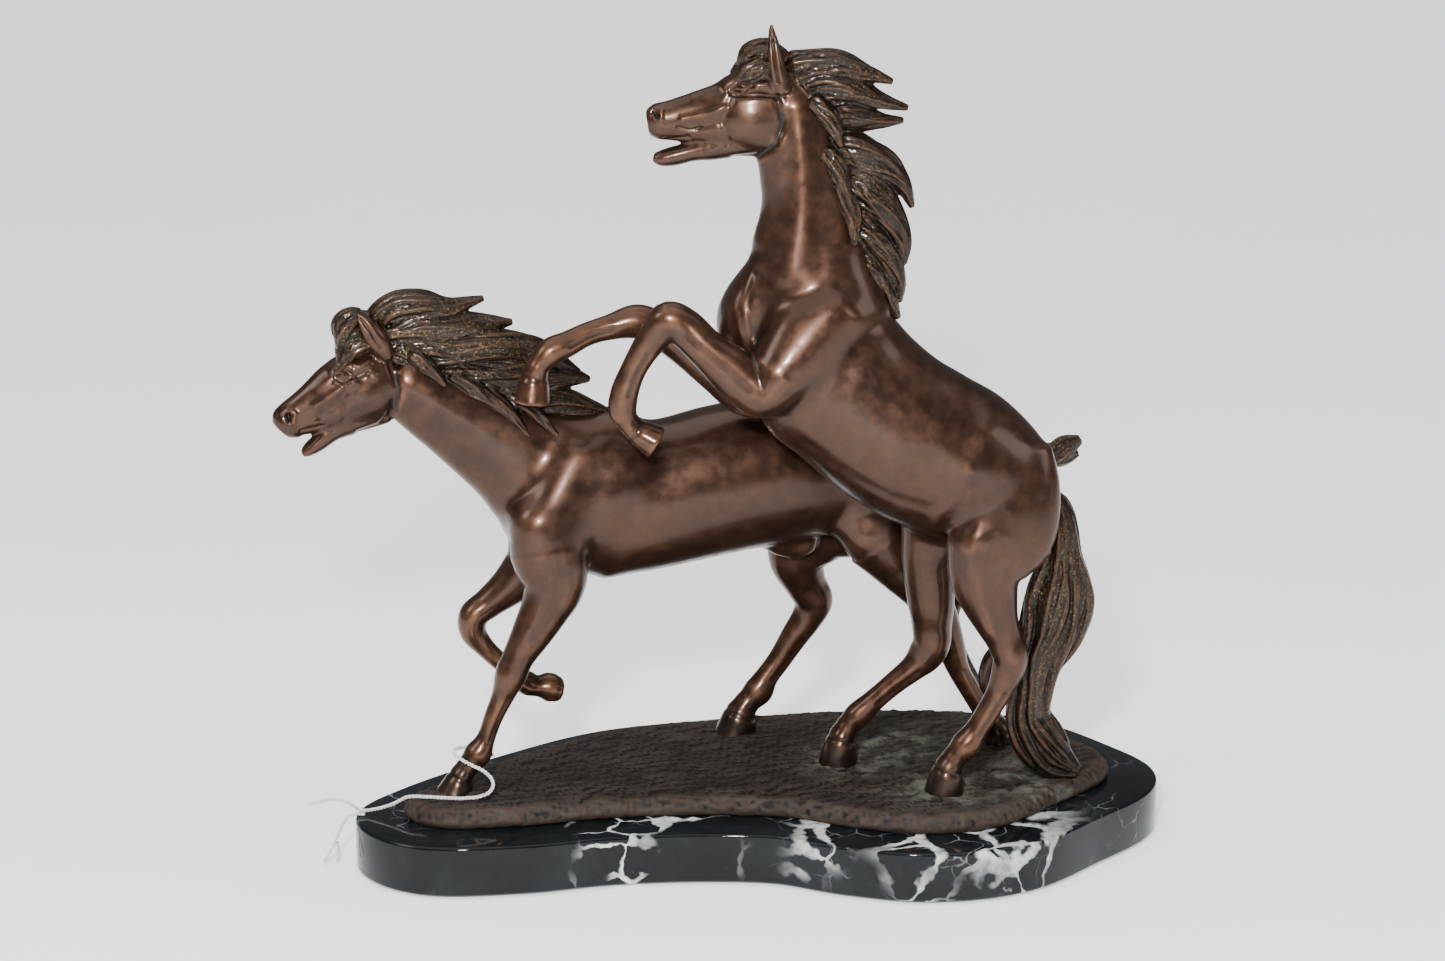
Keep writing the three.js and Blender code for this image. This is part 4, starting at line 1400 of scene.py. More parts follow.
def band(rows: Rows, at: int, width: float, height: float) -> Stroke:
    """A stroke once round a limb at one of its sections.

    Args:
        rows: The limb's section rows.
        at: Which section.
        width: Reach of the tool.
        height: Clay laid on, or taken off where negative.

    Returns:
        The stroke.
    """
    along, up, depth, breadth, left = rows[at]
    before, after = np.array(rows[at - 1]), np.array(rows[min(at + 1, len(rows) - 1)])
    run = Vector((after[0] - before[0], 0, after[1] - before[1])).normalized()
    ring = []
    for step in range(BAND_STEPS + 1):
        angle = math.tau * step / BAND_STEPS
        out = math.cos(angle) * depth
        ring.append((along + run.z * out, up - run.x * out, left + math.sin(angle) * breadth))
    return Stroke(tuple(ring), width, height, Side.LEFT)


def tendon(rows: Rows, first: int, last: int) -> list[Stroke]:
    """Two grooves down a cannon, before its back tendon, on its inner and outer side.

    Args:
        rows: The leg's section rows.
        first: Section where the grooves start.
        last: Section where they end.

    Returns:
        The two strokes.
    """
    grooves = []
    for side in (-1, 1):
        points = tuple((along + depth * TENDON_PLACE, up, left + side * breadth)
                       for along, up, depth, breadth, left in rows[first:last + 1])
        grooves.append(Stroke(points, TENDON_WIDTH, -TENDON_DEPTH, Side.LEFT))
    return grooves


def hoof_strokes(rows: Rows) -> list[Stroke]:
    """The coronet, the fetlock's folds and the cannon's tendons of one leg.

    Args:
        rows: The leg's section rows.

    Returns:
        The strokes.
    """
    last = len(rows) - 1
    coronet = band(rows, last - 1, 1.3, -0.4)
    fetlock = band(rows, last - 2, 2.0, 0.3)
    return [coronet, fetlock, *tendon(rows, last - 6, last - 4)]


RUNNING_STROKES = (
    Stroke(((-62, 178, 20), (-85, 155, 26), (-106, 132, 24)), 13, 1.3),
    Stroke(((-80, 186, 16), (-102, 161, 22), (-119, 140, 19)), 8.5, -0.7),
    Stroke(((-40, 170, 27), (-56, 146, 31), (-70, 122, 30), (-80, 106, 24)), 10, -1.0),
    Stroke(((-62, 150, 30), (-76, 130, 30), (-89, 112, 26)), 13, 1.3),
    Stroke(((-114, 128, 20),), 9, 2.3),
    Stroke(((-120, 128, 9), (-113, 111, 12)), 7.7, 1.28),
    Stroke(((-123, 136, 0), (-121, 118, 0), (-113, 103, 0)), 4.5, -1.1),
    Stroke(((-166, 178, 8), (-146, 161, 13), (-128, 146, 16)), 5, -0.83),
    Stroke(((-164, 191, 10), (-140, 178, 14), (-114, 166, 17)), 7.7, 0.88),
    Stroke(((-150, 186, 13), (-120, 168, 18), (-98, 160, 20)), 3, -0.28),
    Stroke(((20, 152, 28), (33, 137, 30), (42, 122, 26)), 10, -1.21),
    Stroke(((30, 104, 20), (42, 118, 24), (49, 136, 22)), 4.4, 1.12),
    Stroke(((52, 160, 20), (64, 145, 24), (74, 126, 24)), 13.2, 1.76),
    Stroke(((38, 163, 18),), 6.6, 1.28),
    Stroke(((90, 152, 14), (87, 131, 20), (81, 111, 22)), 5, -0.72),
    Stroke(((44, 108, 26),), 7.7, 1.44),
    Stroke(((64, 106, 30), (75, 88, 27), (85, 71, 26)), 3.5, -0.44, Side.LEFT),
    Stroke(((40, 100, 28), (42, 84, 28), (42, 70, 28)), 3.2, -0.44, Side.RIGHT),
    Stroke(((-100, 104, 32), (-106, 88, 34), (-114, 74, 33)), 3, -0.5, Side.LEFT),
    Stroke(((-92, 104, 28), (-97, 88, 30)), 5.5, 0.8, Side.LEFT),
    # head
    Stroke(((-183.5, 184, 10),), 9, 1.0),
    Stroke(((-173, 200, 9), (-170.5, 190, 10), (-172.5, 179, 9), (-179, 171.5, 7), (-188, 168.5, 5)),
           1.6, -1.3),
    Stroke(((-193.5, 194, 10), (-196.5, 186, 10), (-195, 176, 8)), 1.7, -0.7),
    Stroke(((-190, 194, 11), (-199, 189.5, 10), (-208, 183.5, 8.5)), 1.8, 0.9),
    Stroke(((-197, 184.5, 9), (-206, 178.5, 8)), 2.3, -0.9),
    Stroke(((-200, 198.5, 9), (-196.5, 201.8, 10), (-190.5, 201.5, 10.5)), 1.8, 1.5),
    Stroke(((-195.4, 197.2, 10),), 3.6, -1.2),
    Stroke(((-195.4, 197.1, 10),), 2.0, 2.1),
    Stroke(((-199.0, 197.2, 9), (-195.6, 200.0, 10), (-191.4, 197.6, 10)), 0.8, -0.8),
    Stroke(((-198.8, 196.0, 9), (-195.4, 194.0, 10), (-191.6, 196.2, 10)), 0.8, -0.6),
    Stroke(((-199.6, 198.8, 9), (-195.6, 201.8, 10), (-190.6, 199.0, 10)), 1.1, 0.8),
    Stroke(((-198.8, 194.0, 9), (-195.4, 192.0, 10), (-191.2, 194.2, 10)), 1.1, 0.5),
    Stroke(((-187.5, 200.5, 11), (-183.5, 202, 11)), 2.1, 1.5),
    Stroke(((-182, 196.5, 11),), 2.0, 1.3),
    Stroke(((-189, 196.5, 11), (-185, 198.2, 11)), 1.2, -0.9),
    Stroke(((-223, 180, 5), (-220.3, 182.2, 6), (-217.2, 180, 6.5), (-218.4, 176.2, 6)), 1.0, 0.9),
    Stroke(((-220.6, 179.2, 6), (-219.8, 177.2, 6)), 1.1, -2.0),
    Stroke(((-214.5, 171.5, 6.5), (-209.5, 172.3, 7), (-204.5, 173.4, 7)), 0.8, -1.0),
    Stroke(((-214.5, 173.8, 6.5), (-207.5, 175.6, 7)), 1.2, 0.5),
    Stroke(((-212.0, 167.5, 5), (-205, 170.0, 6)), 1.1, 0.4),
    Stroke(((-207, 190.5, 3), (-196, 199.5, 3)), 1.6, 0.4),
    Stroke(((-178.5, 209.5, 10.5), (-182.5, 217, 11), (-187, 223.5, 10)), 0.9, -1.2),
)

REARING_STROKES = (
    Stroke(((34, 226, 26), (24, 211, 28), (12, 200, 28)), 13, 1.5),
    Stroke(((46, 218, 28), (36, 199, 32), (22, 187, 30), (10, 181, 25)), 8, -1.0),
    Stroke(((0, 252, 13), (5, 241, 19), (22, 236, 24), (42, 238, 20)), 5, -0.61),
    Stroke(((10, 304, 13), (11, 288, 16)), 3.1, 0.8),
    Stroke(((18, 318, 9), (20, 300, 12.5), (20.5, 280, 14), (18.5, 262, 16), (14, 244, 21)), 7, 1.1),
    Stroke(((14, 312, 10), (13.5, 290, 15), (11, 268, 16), (7, 248, 18)), 5, -0.72),
    Stroke(((24, 311, 10), (27, 290, 13), (29, 266, 15), (29, 246, 20)), 5, -0.5),
    Stroke(((28, 316, 9), (33, 298, 12), (37, 278, 13), (40, 258, 15)), 3.3, 0.72),
    *(Stroke(((-13 + 4 * wave, 243, 12), (-16 + 4 * wave, 230, 14), (-13 + 4 * wave, 217, 15),
              (-9 + 4 * wave, 205, 14)), 1.6, -0.5) for wave in range(4)),
    Stroke(((18, 169, 20), (38, 155, 24), (62, 143, 24), (80, 138, 22)), 3.8, -0.55),
    Stroke(((20, 160, 8), (40, 145, 9), (64, 133, 9)), 3.8, -0.44),
    Stroke(((80, 160, 30), (87, 145, 29), (92, 130, 27)), 7.5, -0.94),
    Stroke(((82, 132, 18), (90, 144, 22), (96, 156, 22)), 4, 0.96),
    Stroke(((104, 156, 22), (104, 140, 27), (100, 126, 28)), 12.1, 1.44),
    Stroke(((98, 124, 28),), 6.6, 1.28),
    Stroke(((104, 172, 17),), 6.6, 1.12),
    Stroke(((129, 140, 17), (126, 118, 22), (119, 98, 25)), 4.5, -0.72),
    Stroke(((97, 118, 30), (101, 98, 29), (107, 80, 28)), 3.7, 0.72, Side.LEFT),
    Stroke(((108, 112, 32), (108, 95, 30), (112, 80, 28)), 3, -0.5, Side.LEFT),
    Stroke(((86, 100, 30), (88, 84, 29), (88, 70, 28)), 3, -0.44, Side.RIGHT),
    Stroke(((-4, 196, 34), (-18, 209, 34), (-31, 220, 32)), 2.8, -0.44, Side.LEFT),
    # head
    Stroke(((-2.5, 310, 11),), 9, 1.1),
    Stroke(((9.5, 322, 10), (11.5, 312, 10), (8.5, 302, 9), (0.5, 296, 7), (-10, 294.5, 5)), 1.5, -1.4),
    Stroke(((-12, 322, 10), (-15, 312, 10), (-12.5, 302, 8)), 1.9, -0.9),
    Stroke(((-11, 324.2, 10), (0, 324.6, 11), (9, 323.5, 10)), 1.2, -1.5),
    Stroke(((-14, 318.5, 10), (-24, 315, 9), (-33, 313, 7)), 1.7, 0.8),
    Stroke(((-16, 312, 10), (-26, 309.5, 8)), 2.2, -0.8),
    Stroke(((-13.5, 328, 8), (-9.5, 331, 9.5), (-4, 330.5, 10)), 1.7, 1.5),
    Stroke(((-8.7, 327.3, 10),), 3.0, -1.2),
    Stroke(((-8.7, 327.2, 10),), 2.0, 2.1),
    Stroke(((-12.4, 326.8, 9), (-8.9, 330.0, 10), (-4.8, 327.8, 10)), 0.8, -0.8),
    Stroke(((-12.2, 325.6, 9), (-8.5, 324.2, 10), (-4.8, 326.4, 10)), 0.8, -0.6),
    Stroke(((-13.2, 328.4, 9), (-9.2, 331.8, 10), (-4.0, 329.4, 10)), 1.1, 0.8),
    Stroke(((0.5, 328.5, 10.5), (4.5, 328.5, 10)), 2.2, 1.6),
    Stroke(((-2.5, 328.3, 10.5),), 1.2, -0.9),
    Stroke(((-48, 316.5, 5), (-45.6, 318.6, 6), (-42.2, 317.2, 6.5), (-42.8, 313.4, 6.5)), 1.0, 0.9),
    Stroke(((-45.6, 315.8, 6), (-44.4, 314.2, 6)), 1.1, -2.0),
    Stroke(((-41, 303.4, 5), (-35, 303.8, 6), (-30.5, 304.6, 7)), 0.9, -1.4),
    Stroke(((-35.5, 309.6, 7), (-30, 308.2, 7.5), (-24, 309.2, 8)), 0.6, -0.8),
    Stroke(((-28, 322.5, 3), (-14, 329.5, 3)), 1.6, 0.4),
    Stroke(((9.5, 330, 11), (8, 340, 11.5), (7, 349, 9.5)), 0.9, -1.3),
)


# ---- horses -------------------------------------------------------------------------------------


@dataclass(frozen=True)
class Saw:
    """A flat cut that takes one casting off a skin.

    Attributes:
        part: The casting taken off.
        point: A place on the cut, as (along, up).
        towards: The direction, as (along, up), on whose side the casting lies.
        seed: A place on the casting, as (along, up, left).
    """

    part: str
    point: tuple[float, float]
    towards: tuple[float, float]
    seed: tuple[float, float, float]

    def taken_off(self, skin: bmesh.types.BMesh) -> bmesh.types.BMesh:
        """Cuts the casting off the skin and closes both.

        Args:
            skin: The skin, which keeps the rest.

        Returns:
            The casting.
        """
        geometry = [*skin.verts, *skin.edges, *skin.faces]
        middle = (self.point[0], 0, self.point[1])
        direction = (self.towards[0], 0, self.towards[1])
        cut = bmesh.ops.bisect_plane(skin, geom=geometry, dist=SAW_TOLERANCE, plane_co=middle,
                                     plane_no=direction)
        fence = {item for item in cut["geom_cut"] if isinstance(item, bmesh.types.BMEdge)}
        target = Vector((self.seed[0], -self.seed[2], self.seed[1]))
        start = min(skin.faces, key=lambda face: (face.verts[0].co - target).length_squared)
        casting_faces = flooded(start, fence)
        for face in skin.faces:
            face.tag = face in casting_faces
        casting = skin.copy()
        skin.faces.index_update()
        taken = {face.index for face in casting_faces}
        casting.faces.ensure_lookup_table()
        bmesh.ops.delete(casting, geom=[face for face in casting.faces if face.index not in taken],
                         context="FACES")
        bmesh.ops.delete(skin, geom=list(casting_faces), context="FACES")
        for form in (skin, casting):
            closed_up(form)
        return casting


def split_faces(form: bmesh.types.BMesh, inside: Callable[[Vector], bool]) -> None:
    """Halves the edges of a part of a form and evens out the new points.

    Args:
        form: The form.
        inside: Whether a place belongs to the part.
    """
    chosen = {vert for vert in form.verts if inside(vert.co)}
    edges = [edge for edge in form.edges if edge.verts[0] in chosen and edge.verts[1] in chosen]
    bmesh.ops.subdivide_edges(form, edges=edges, cuts=1, use_grid_fill=True)
    loose = [vert for vert in form.verts if inside(vert.co)]
    bmesh.ops.smooth_vert(form, verts=loose, factor=0.5, use_axis_x=True, use_axis_y=True, use_axis_z=True)


def closed_up(form: bmesh.types.BMesh) -> None:
    """Fills the open ends that a saw cut leaves with flat, hard-edged caps.

    Args:
        form: The form, which is changed.
    """
    rim = [edge for edge in form.edges if edge.is_boundary]
    bmesh.ops.holes_fill(form, edges=rim, sides=0)
    for edge in rim:
        edge.smooth = False


@dataclass
class Tress:
    """One lock of hair: a core and the strands laid round it.

    Attributes:
        rows: The lock's sections.
        seed: Start of its random draws.
        strand_width: Spacing of the strands at the lock's widest.
        spacing: Distance between two points of a strand.
        fewest: Fewest strands of a lock.
        most: Most strands of a lock.
        body: Size of the core, and of the strands' path, as a share of the lock's.
        root: Size of the core's first section as a share of the row's.
    """

    rows: Rows
    seed: int
    strand_width: float = 1.8
    spacing: float = 2.0
    fewest: int = 9
    most: int = 34
    body: float = 0.90
    root: float = 0.6

    def strands(self) -> bpy.types.Mesh:
        """Builds the strands as tapering tubes.

        Returns:
            The tubes, each of them closed.
        """
        rng = np.random.default_rng(self.seed)
        middles, sizes, axes = sections(self.rows, self.spacing)
        widest = sizes.max(0)
        share = np.linspace(0, 1, len(middles))
        sizes = sizes * np.clip(0.45 + 7 * share, 0, 1)[:, None]
        around = math.tau * math.sqrt((widest[0] ** 2 + widest[1] ** 2) / 2)
        count = int(np.clip(around / self.strand_width, self.fewest, self.most))
        curve = tube_curve("strands", 1)
        for index in range(count):
            lift = rng.uniform(0.80, 1.04)
            phase = rng.uniform(0, math.tau)
            wander = rng.uniform(0.15, 0.4)
            sway = 1 + rng.uniform(0.02, 0.09) * np.sin(share * rng.uniform(6, 11) + phase)
            angle = (math.tau * (index + rng.uniform(-0.25, 0.25)) / count
                     + rng.uniform(0.3, 0.8) * share + wander * np.sin(share * rng.uniform(5, 8) + phase))
            ring = np.stack([np.cos(angle), np.sin(angle)], axis=1)
            flat = ring * sizes * (lift * self.body * sway)[:, None]
            points = middles + flat[:, :1] * axes[:, 0] + flat[:, 1:] * axes[:, 1]
            width = rng.uniform(0.8, 1.3) * 0.62 * around / count
            local = np.sqrt((sizes ** 2).sum(1)) / math.sqrt((widest ** 2).sum())
            radii = np.clip(width * (0.35 + 0.7 * local), 0.32, None)
            add_tube(curve, points, radii)
        return evaluated(curve)

    def rounded_rows(self) -> Rows:
        """The lock's sections, with its root drawn in."""
        along, up, depth, breadth, left = self.rows[0]
        return ((along, up, self.root * depth, self.root * breadth, left), *self.rows[1:])

    def meshes(self) -> list[bpy.types.Mesh]:
        """The lock's core and its strands."""
        return [loft(self.rounded_rows(), 12, 3.0, self.body), self.strands()]


@dataclass
class Horse:
    """One horse, modelled whole and sawn into its castings.

    Attributes:
        name: First word of its pieces' names.
        place: Where it stands on the ground.
        turn: Turn of its middle plane about the upright.
        trunk: Section rows of its torso, breast and neck.
        bones: Section rows of its skull, jaw and ear.
        legs: Section rows of its legs, by casting.
        roots: How many of each leg's first sections belong to the trunk's soft masses.
        eye: Middle of its left eye, as (along, up, left).
        hair: Locks of its mane, forelock and tail.
        strokes: The carving of its skin.
        saws: The cuts between its castings.
    """

    name: str
    place: tuple[float, float]
    turn: float
    trunk: tuple[Rows, ...]
    bones: tuple[Rows, ...]
    legs: dict[str, Rows]
    roots: int
    eye: tuple[float, float, float]
    hair: dict[str, Locks]
    strokes: tuple[Stroke, ...]
    saws: tuple[Saw, ...]

    SOFT_VOXEL = 1.6
    SKIN_VOXEL = 0.93
    HAIR_VOXEL = 0.55
    SOFT_ROUNDS = 34
    SKIN_ROUNDS = 5
    HAIR_ROUNDS = 1
    SKIN_RECESSES = (0.24, 1.5)
    HAIR_RECESSES = (0.15, 0.8)
    LIMB_OVERLAP = 2
    HEAD_MARGIN = 1.5
    HEAD_DROP = 40
    EYE_REACH = 8.0
    LOCK_SEEDS = 31

    def frame(self) -> Matrix:
        """Its place in the group."""
        return frame_matrix(self.place, self.turn, GROUND_TOP)

    def soft_masses(self) -> bpy.types.Mesh:
        """Trunk and haunches, fused and relaxed until they flow into each other.

        Returns:
            The closed mesh.
        """
        shoulders = [rows[:self.roots] for rows in self.legs.values()]
        masses = gathered(loft(rows) for rows in (*self.trunk, *shoulders))
        return fused(masses, self.SOFT_VOXEL, self.SOFT_ROUNDS)

    def skin(self) -> bpy.types.Mesh:
        """Models the whole horse without its hair.

        Returns:
            The carved skin.
        """
        skull, jaw, ear = self.bones
        far_ear = tuple((*row[:4], -row[4]) for row in ear)
        limbs = [rows[self.roots - self.LIMB_OVERLAP:] for rows in self.legs.values()]
        hard = [loft(rows, 24, 1.6) for rows in (skull, jaw, ear, far_ear, *limbs)]
        mesh = fused(gathered([self.soft_masses(), *hard]), self.SKIN_VOXEL, self.SKIN_ROUNDS)
        mesh = self.refined_head(mesh)
        work = list(self.strokes)
        for rows in self.legs.values():
            work.extend(hoof_strokes(rows))
        carved(mesh, work)
        mark_recesses(mesh, *self.SKIN_RECESSES)
        return shaded_smooth(mesh)

    def refined_head(self, mesh: bpy.types.Mesh) -> bpy.types.Mesh:
        """Gives the head finer faces than the rest, for its small features.

        Args:
            mesh: The skin, which is dropped.

        Returns:
            The skin with a finer head, and finer still round the eyes.
        """
        saw = next(saw for saw in self.saws if saw.part == "head")
        point = Vector((saw.point[0], 0, saw.point[1]))
        towards = Vector((saw.towards[0], 0, saw.towards[1])).normalized()
        lowest = saw.seed[1] - self.HEAD_DROP
        eyes = [Vector((self.eye[0], side * self.eye[2], self.eye[1])) for side in (-1, 1)]

        def in_head(place: Vector) -> bool:
            """Whether a place is on the head's side of its saw cut."""
            return (place - point).dot(towards) > self.HEAD_MARGIN and place.z > lowest

        def by_an_eye(place: Vector) -> bool:
            """Whether a place is close to an eye."""
            return min((place - eye).length for eye in eyes) < self.EYE_REACH

        form = bmesh.new()
        form.from_mesh(mesh)
        bpy.data.meshes.remove(mesh)
        split_faces(form, in_head)
        split_faces(form, by_an_eye)
        return into_mesh(form)

    def build_castings(self, look: bpy.types.Material) -> None:
        """Saws the skin and makes each casting a piece.

        Args:
            look: The bronze's material.
        """
        skin = bmesh.new()
        skin.from_mesh(self.skin())
        for saw in self.saws:
            casting = saw.taken_off(skin)
            name = f"{self.name}_{saw.part}"
            finished(into_mesh(casting), f"{name}_casting", self.frame(), look, Slot.HORSE, name)
        name = f"{self.name}_body"
        finished(into_mesh(skin), f"{name}_casting", self.frame(), look, Slot.HORSE, name)

    def build_hair(self, look: bpy.types.Material) -> None:
        """Makes mane, forelock and tail from their locks.

        Args:
            look: The hair's material.
        """
        for part, locks in self.hair.items():
            meshes = []
            for index, rows in enumerate(locks):
                meshes.extend(Tress(rows, len(meshes) + self.LOCK_SEEDS * index).meshes())
            mesh = fused(gathered(meshes), self.HAIR_VOXEL, self.HAIR_ROUNDS)
            mark_recesses(mesh, *self.HAIR_RECESSES)
            mark_flow(mesh, locks)
            name = f"{self.name}_{part}"
            finished(shaded_smooth(mesh), f"{name}_casting", self.frame(), look, Slot.HAIR, name)


def running_horse() -> Horse:
    """The horse that runs, with its head stretched forward.

    Returns:
        The horse, not built yet.
    """
    return Horse(
        name="running",
        place=(0, 16),
        turn=0.243,
        trunk=(RUNNING_TORSO, RUNNING_NECK, RUNNING_SHEATH),
        bones=(RUNNING_SKULL, RUNNING_JAW, RUNNING_EAR),
        legs={
            "left_foreleg": RUNNING_LEFT_FORELEG,
            "right_foreleg": RUNNING_RIGHT_FORELEG,
            "left_hindleg": RUNNING_LEFT_HINDLEG,
            "right_hindleg": RUNNING_RIGHT_HINDLEG,
        },
        roots=4,
        eye=(-195.4, 197.2, 9.5),
        hair={"mane": RUNNING_MANE, "forelock": RUNNING_FORELOCK, "tail": RUNNING_TAIL},
        strokes=RUNNING_STROKES,
        saws=(
            Saw("head", (-171, 191), (-1, 0), (-222, 176, 0)),
            Saw("left_foreleg", (-104, 87), (0, -1), (-150, 1, 25)),
            Saw("right_foreleg", (-104, 87), (0, -1), (-91, 30, -20)),
            Saw("left_hindleg", (70, 95), (0.45, -0.9), (119, 0, 19)),
            Saw("right_hindleg", (29, 93), (0, -1), (-3, 0, -26)),
        ),
    )


def rearing_horse() -> Horse:
    """The horse that rears over the other's back.

    Returns:
        The horse, not built yet.
    """
    return Horse(
        name="rearing",
        place=(0, -27),
        turn=0.0,
        trunk=(REARING_TORSO, REARING_BREAST, REARING_NECK, REARING_SHEATH),
        bones=(REARING_SKULL, REARING_JAW, REARING_EAR),
        legs={
            "left_foreleg": REARING_LEFT_FORELEG,
            "right_foreleg": REARING_RIGHT_FORELEG,
            "left_hindleg": REARING_LEFT_HINDLEG,
            "right_hindleg": REARING_RIGHT_HINDLEG,
        },
        roots=4,
        eye=(-8.7, 327.3, 9.5),
        hair={"mane": REARING_MANE, "forelock": REARING_FORELOCK, "tail": REARING_TAIL},
        strokes=REARING_STROKES,
        saws=(
            Saw("head", (8, 312), (-0.8, 0.6), (-47, 311, 0)),
            Saw("left_foreleg", (-21, 211), (-1, 0), (-45, 166, 16)),
            Saw("right_foreleg", (-21, 195), (-1, 0), (-102, 184, 13)),
            Saw("left_hindleg", (108, 104), (0, -1), (88, 0, 19)),
            Saw("right_hindleg", (82, 104), (0, -1), (40, 0, -23)),
        ),
    )


# ---- base ---------------------------------------------------------------------------------------


@dataclass
class Base:
    """Bronze ground, marble, felt and the studs that hold them together.

    Attributes:
        outline_spacing: Distance between two points of the outline.
        ground_voxel: Edge of the cubes that the ground is fused in.
        chisel_depth: Depth of the rim's chiselling.
        highest_relief: Most that the ground's relief may add.
        cutter_overlap: How far the marble's cutters reach past it.
        cutter_sides: Sides of the cutters.
        marble_crease: Turn in degrees from which an edge of the marble looks sharp.
        felt_crease: The same on the felt.
    """

    outline_spacing: float = 2.0
    ground_voxel: float = 1.1
    chisel_depth: float = 0.9
    highest_relief: float = 1.1
    cutter_overlap: float = 5.0
    cutter_sides: int = 48
    marble_crease: float = 24.0
    felt_crease: float = 30.0

    def outline(self) -> np.ndarray:
        """The foot of the ground as a fine closed line."""
        knots = np.array([(x, y, 0.0) for x, y in GROUND_OUTLINE])
        return spline(knots, self.outline_spacing, closed=True)

    def slab(self, levels: Sequence[tuple[float, float]]) -> bpy.types.Mesh:
        """Builds a closed slab on the ground's outline.

        Args:
            levels: Height and distance outside the ground's foot of each ring.

        Returns:
            The closed mesh.
        """
        line = self.outline()
        run = np.roll(line, -1, axis=0) - np.roll(line, 1, axis=0)
        outward = np.stack([run[:, 1], -run[:, 0], run[:, 2]], axis=1)
        outward /= np.linalg.norm(outward, axis=1)[:, None]
        form = bmesh.new()
        previous: set = set()
        for index, (height, outside) in enumerate(levels):
            capped = index in (0, len(levels) - 1)
            ring = bmesh.ops.create_circle(form, cap_ends=capped, segments=len(line), radius=1)["verts"]
            for vert, place, out in zip(ring, line, outward):
                vert.co = Vector(place + out * outside) + Vector((0, 0, height))
            previous = bridged(form, previous, ring)
        bmesh.ops.recalc_face_normals(form, faces=form.faces)
        return into_mesh(form)

    def rounded_levels(self, bottom: float, top: float, reach: float,
                       radius: float) -> list[tuple[float, float]]:
        """Levels of a slab with softened upper and lower edges.

        Args:
            bottom: The slab's underside.
            top: Its upper side.
            reach: How far it reaches past the ground's foot.
            radius: Radius of its edges.

        Returns:
            Height and reach of each ring, upwards.
        """
        lower, upper = [], []
        for angle in (0, 22.5, 45, 67.5, 90):
            turn = math.radians(angle)
            rise = radius * (1 - math.cos(turn))
            inset = radius * (1 - math.sin(turn))
            lower.append((bottom + rise, reach - inset))
            upper.append((top - rise, reach - inset))
        return [*lower, *reversed(upper)]

    def build_marble(self) -> None:
        """The marble slab with its recesses and holes for the studs."""
        mesh = self.slab(self.rounded_levels(MARBLE_BOTTOM, MARBLE_TOP, BASE_MARGIN, MARBLE_EDGE))
        cutter_form = bmesh.new()
        for x, y in STUD_PLACES:
            for diameter, top in ((RECESS_DIAMETER, RECESS_TOP),
                                  (STUD_HOLE_DIAMETER, MARBLE_TOP + self.cutter_overlap)):
                middle = Matrix.Translation((x, y, (top - self.cutter_overlap) / 2))
                bmesh.ops.create_cone(cutter_form, cap_ends=True, segments=self.cutter_sides,
                                      radius1=diameter / 2, radius2=diameter / 2,
                                      depth=top + self.cutter_overlap, matrix=middle)
        cutter = bpy.data.objects.new("stud_cutter", into_mesh(cutter_form))
        bpy.context.scene.collection.objects.link(cutter)
        settings = {"operation": "DIFFERENCE", "solver": "EXACT", "use_self": True, "object": cutter}
        mesh = evaluated(mesh, [("BOOLEAN", settings)])
        bpy.data.objects.remove(cutter)
        self.shade_by_angle(mesh, self.marble_crease)
        finished(mesh, "marble_slab", Matrix.Scale(MM, 4), Marble().material(), Slot.MARBLE, "marble_base")

    def shade_by_angle(self, mesh: bpy.types.Mesh, limit: float) -> None:
        """Shades a mesh smooth, with hard edges where its surface turns sharply.

        Args:
            mesh: The mesh, which is changed.
            limit: Turn in degrees from which an edge is hard.
        """
        form = bmesh.new()
        form.from_mesh(mesh)
        for face in form.faces:
            face.smooth = True
        for edge in form.edges:
            edge.smooth = edge.calc_face_angle(0.0) < math.radians(limit)
        form.to_mesh(mesh)
        form.free()

    def build_ground(self) -> None:
        """The cast ground: a slab with a chiselled rim and an uneven, streaked top."""
        levels = [(GROUND_BOTTOM, -1.0), (GROUND_BOTTOM + 2.9, 0.0), (GROUND_BOTTOM + 6.5, -2.0),
                  (GROUND_TOP, -4.2)]
        mesh = fused(self.slab(levels), self.ground_voxel, 2)
        places = positions_of(mesh)
        normals = normals_of(mesh)
        rim = np.clip(1.2 - np.abs(normals[:, 2]), 0, 1)
        top = np.clip(normals[:, 2], 0, 1)
        level = np.clip((places[:, 2] - GROUND_BOTTOM) / 3.0, 0, 1)
        scallops = waves(places, 11, 19, (1, 1, 0.3))
        facets = 0.6 - np.abs(waves(places, 16, 9, (1, 1, 0.7)))
        chisel = 0.6 * scallops + 0.9 * facets + 0.5 * waves(places, 12, 3.6, (1, 1, 0.15))
        streaks = waves(places, 13, 20, (0.6, 1, 1))
        creases = 0.5 - np.abs(waves(places, 14, 9, (0.7, 1, 1)))
        lumps = waves(places, 15, 3.6, (1, 1, 1))
        unevenness = 0.28 * streaks + 0.5 * creases + 0.24 * lumps
        relief = rim * level * self.chisel_depth * chisel + top * unevenness
        relief = np.minimum(relief, self.highest_relief)
        move_points(mesh, places + normals * relief[:, None])
        mark_recesses(mesh, 0.25, 0.6)
        finished(shaded_smooth(mesh), "ground_casting", Matrix.Scale(MM, 4), GroundBronze().material(),
                 Slot.GROUND, "bronze_ground")

    def build_felt(self) -> None:
        """The felt under the marble, cut a little short of its edge."""
        mesh = self.slab([(0.0, FELT_REACH), (FELT_THICKNESS, FELT_REACH)])
        self.shade_by_angle(mesh, self.felt_crease)
        piece = finished(mesh, "felt_sheet", Matrix.Scale(MM, 4), Felt().material(), Slot.FELT, "base_felt")
        low, high = positions_of(mesh).min(0), positions_of(mesh).max(0)

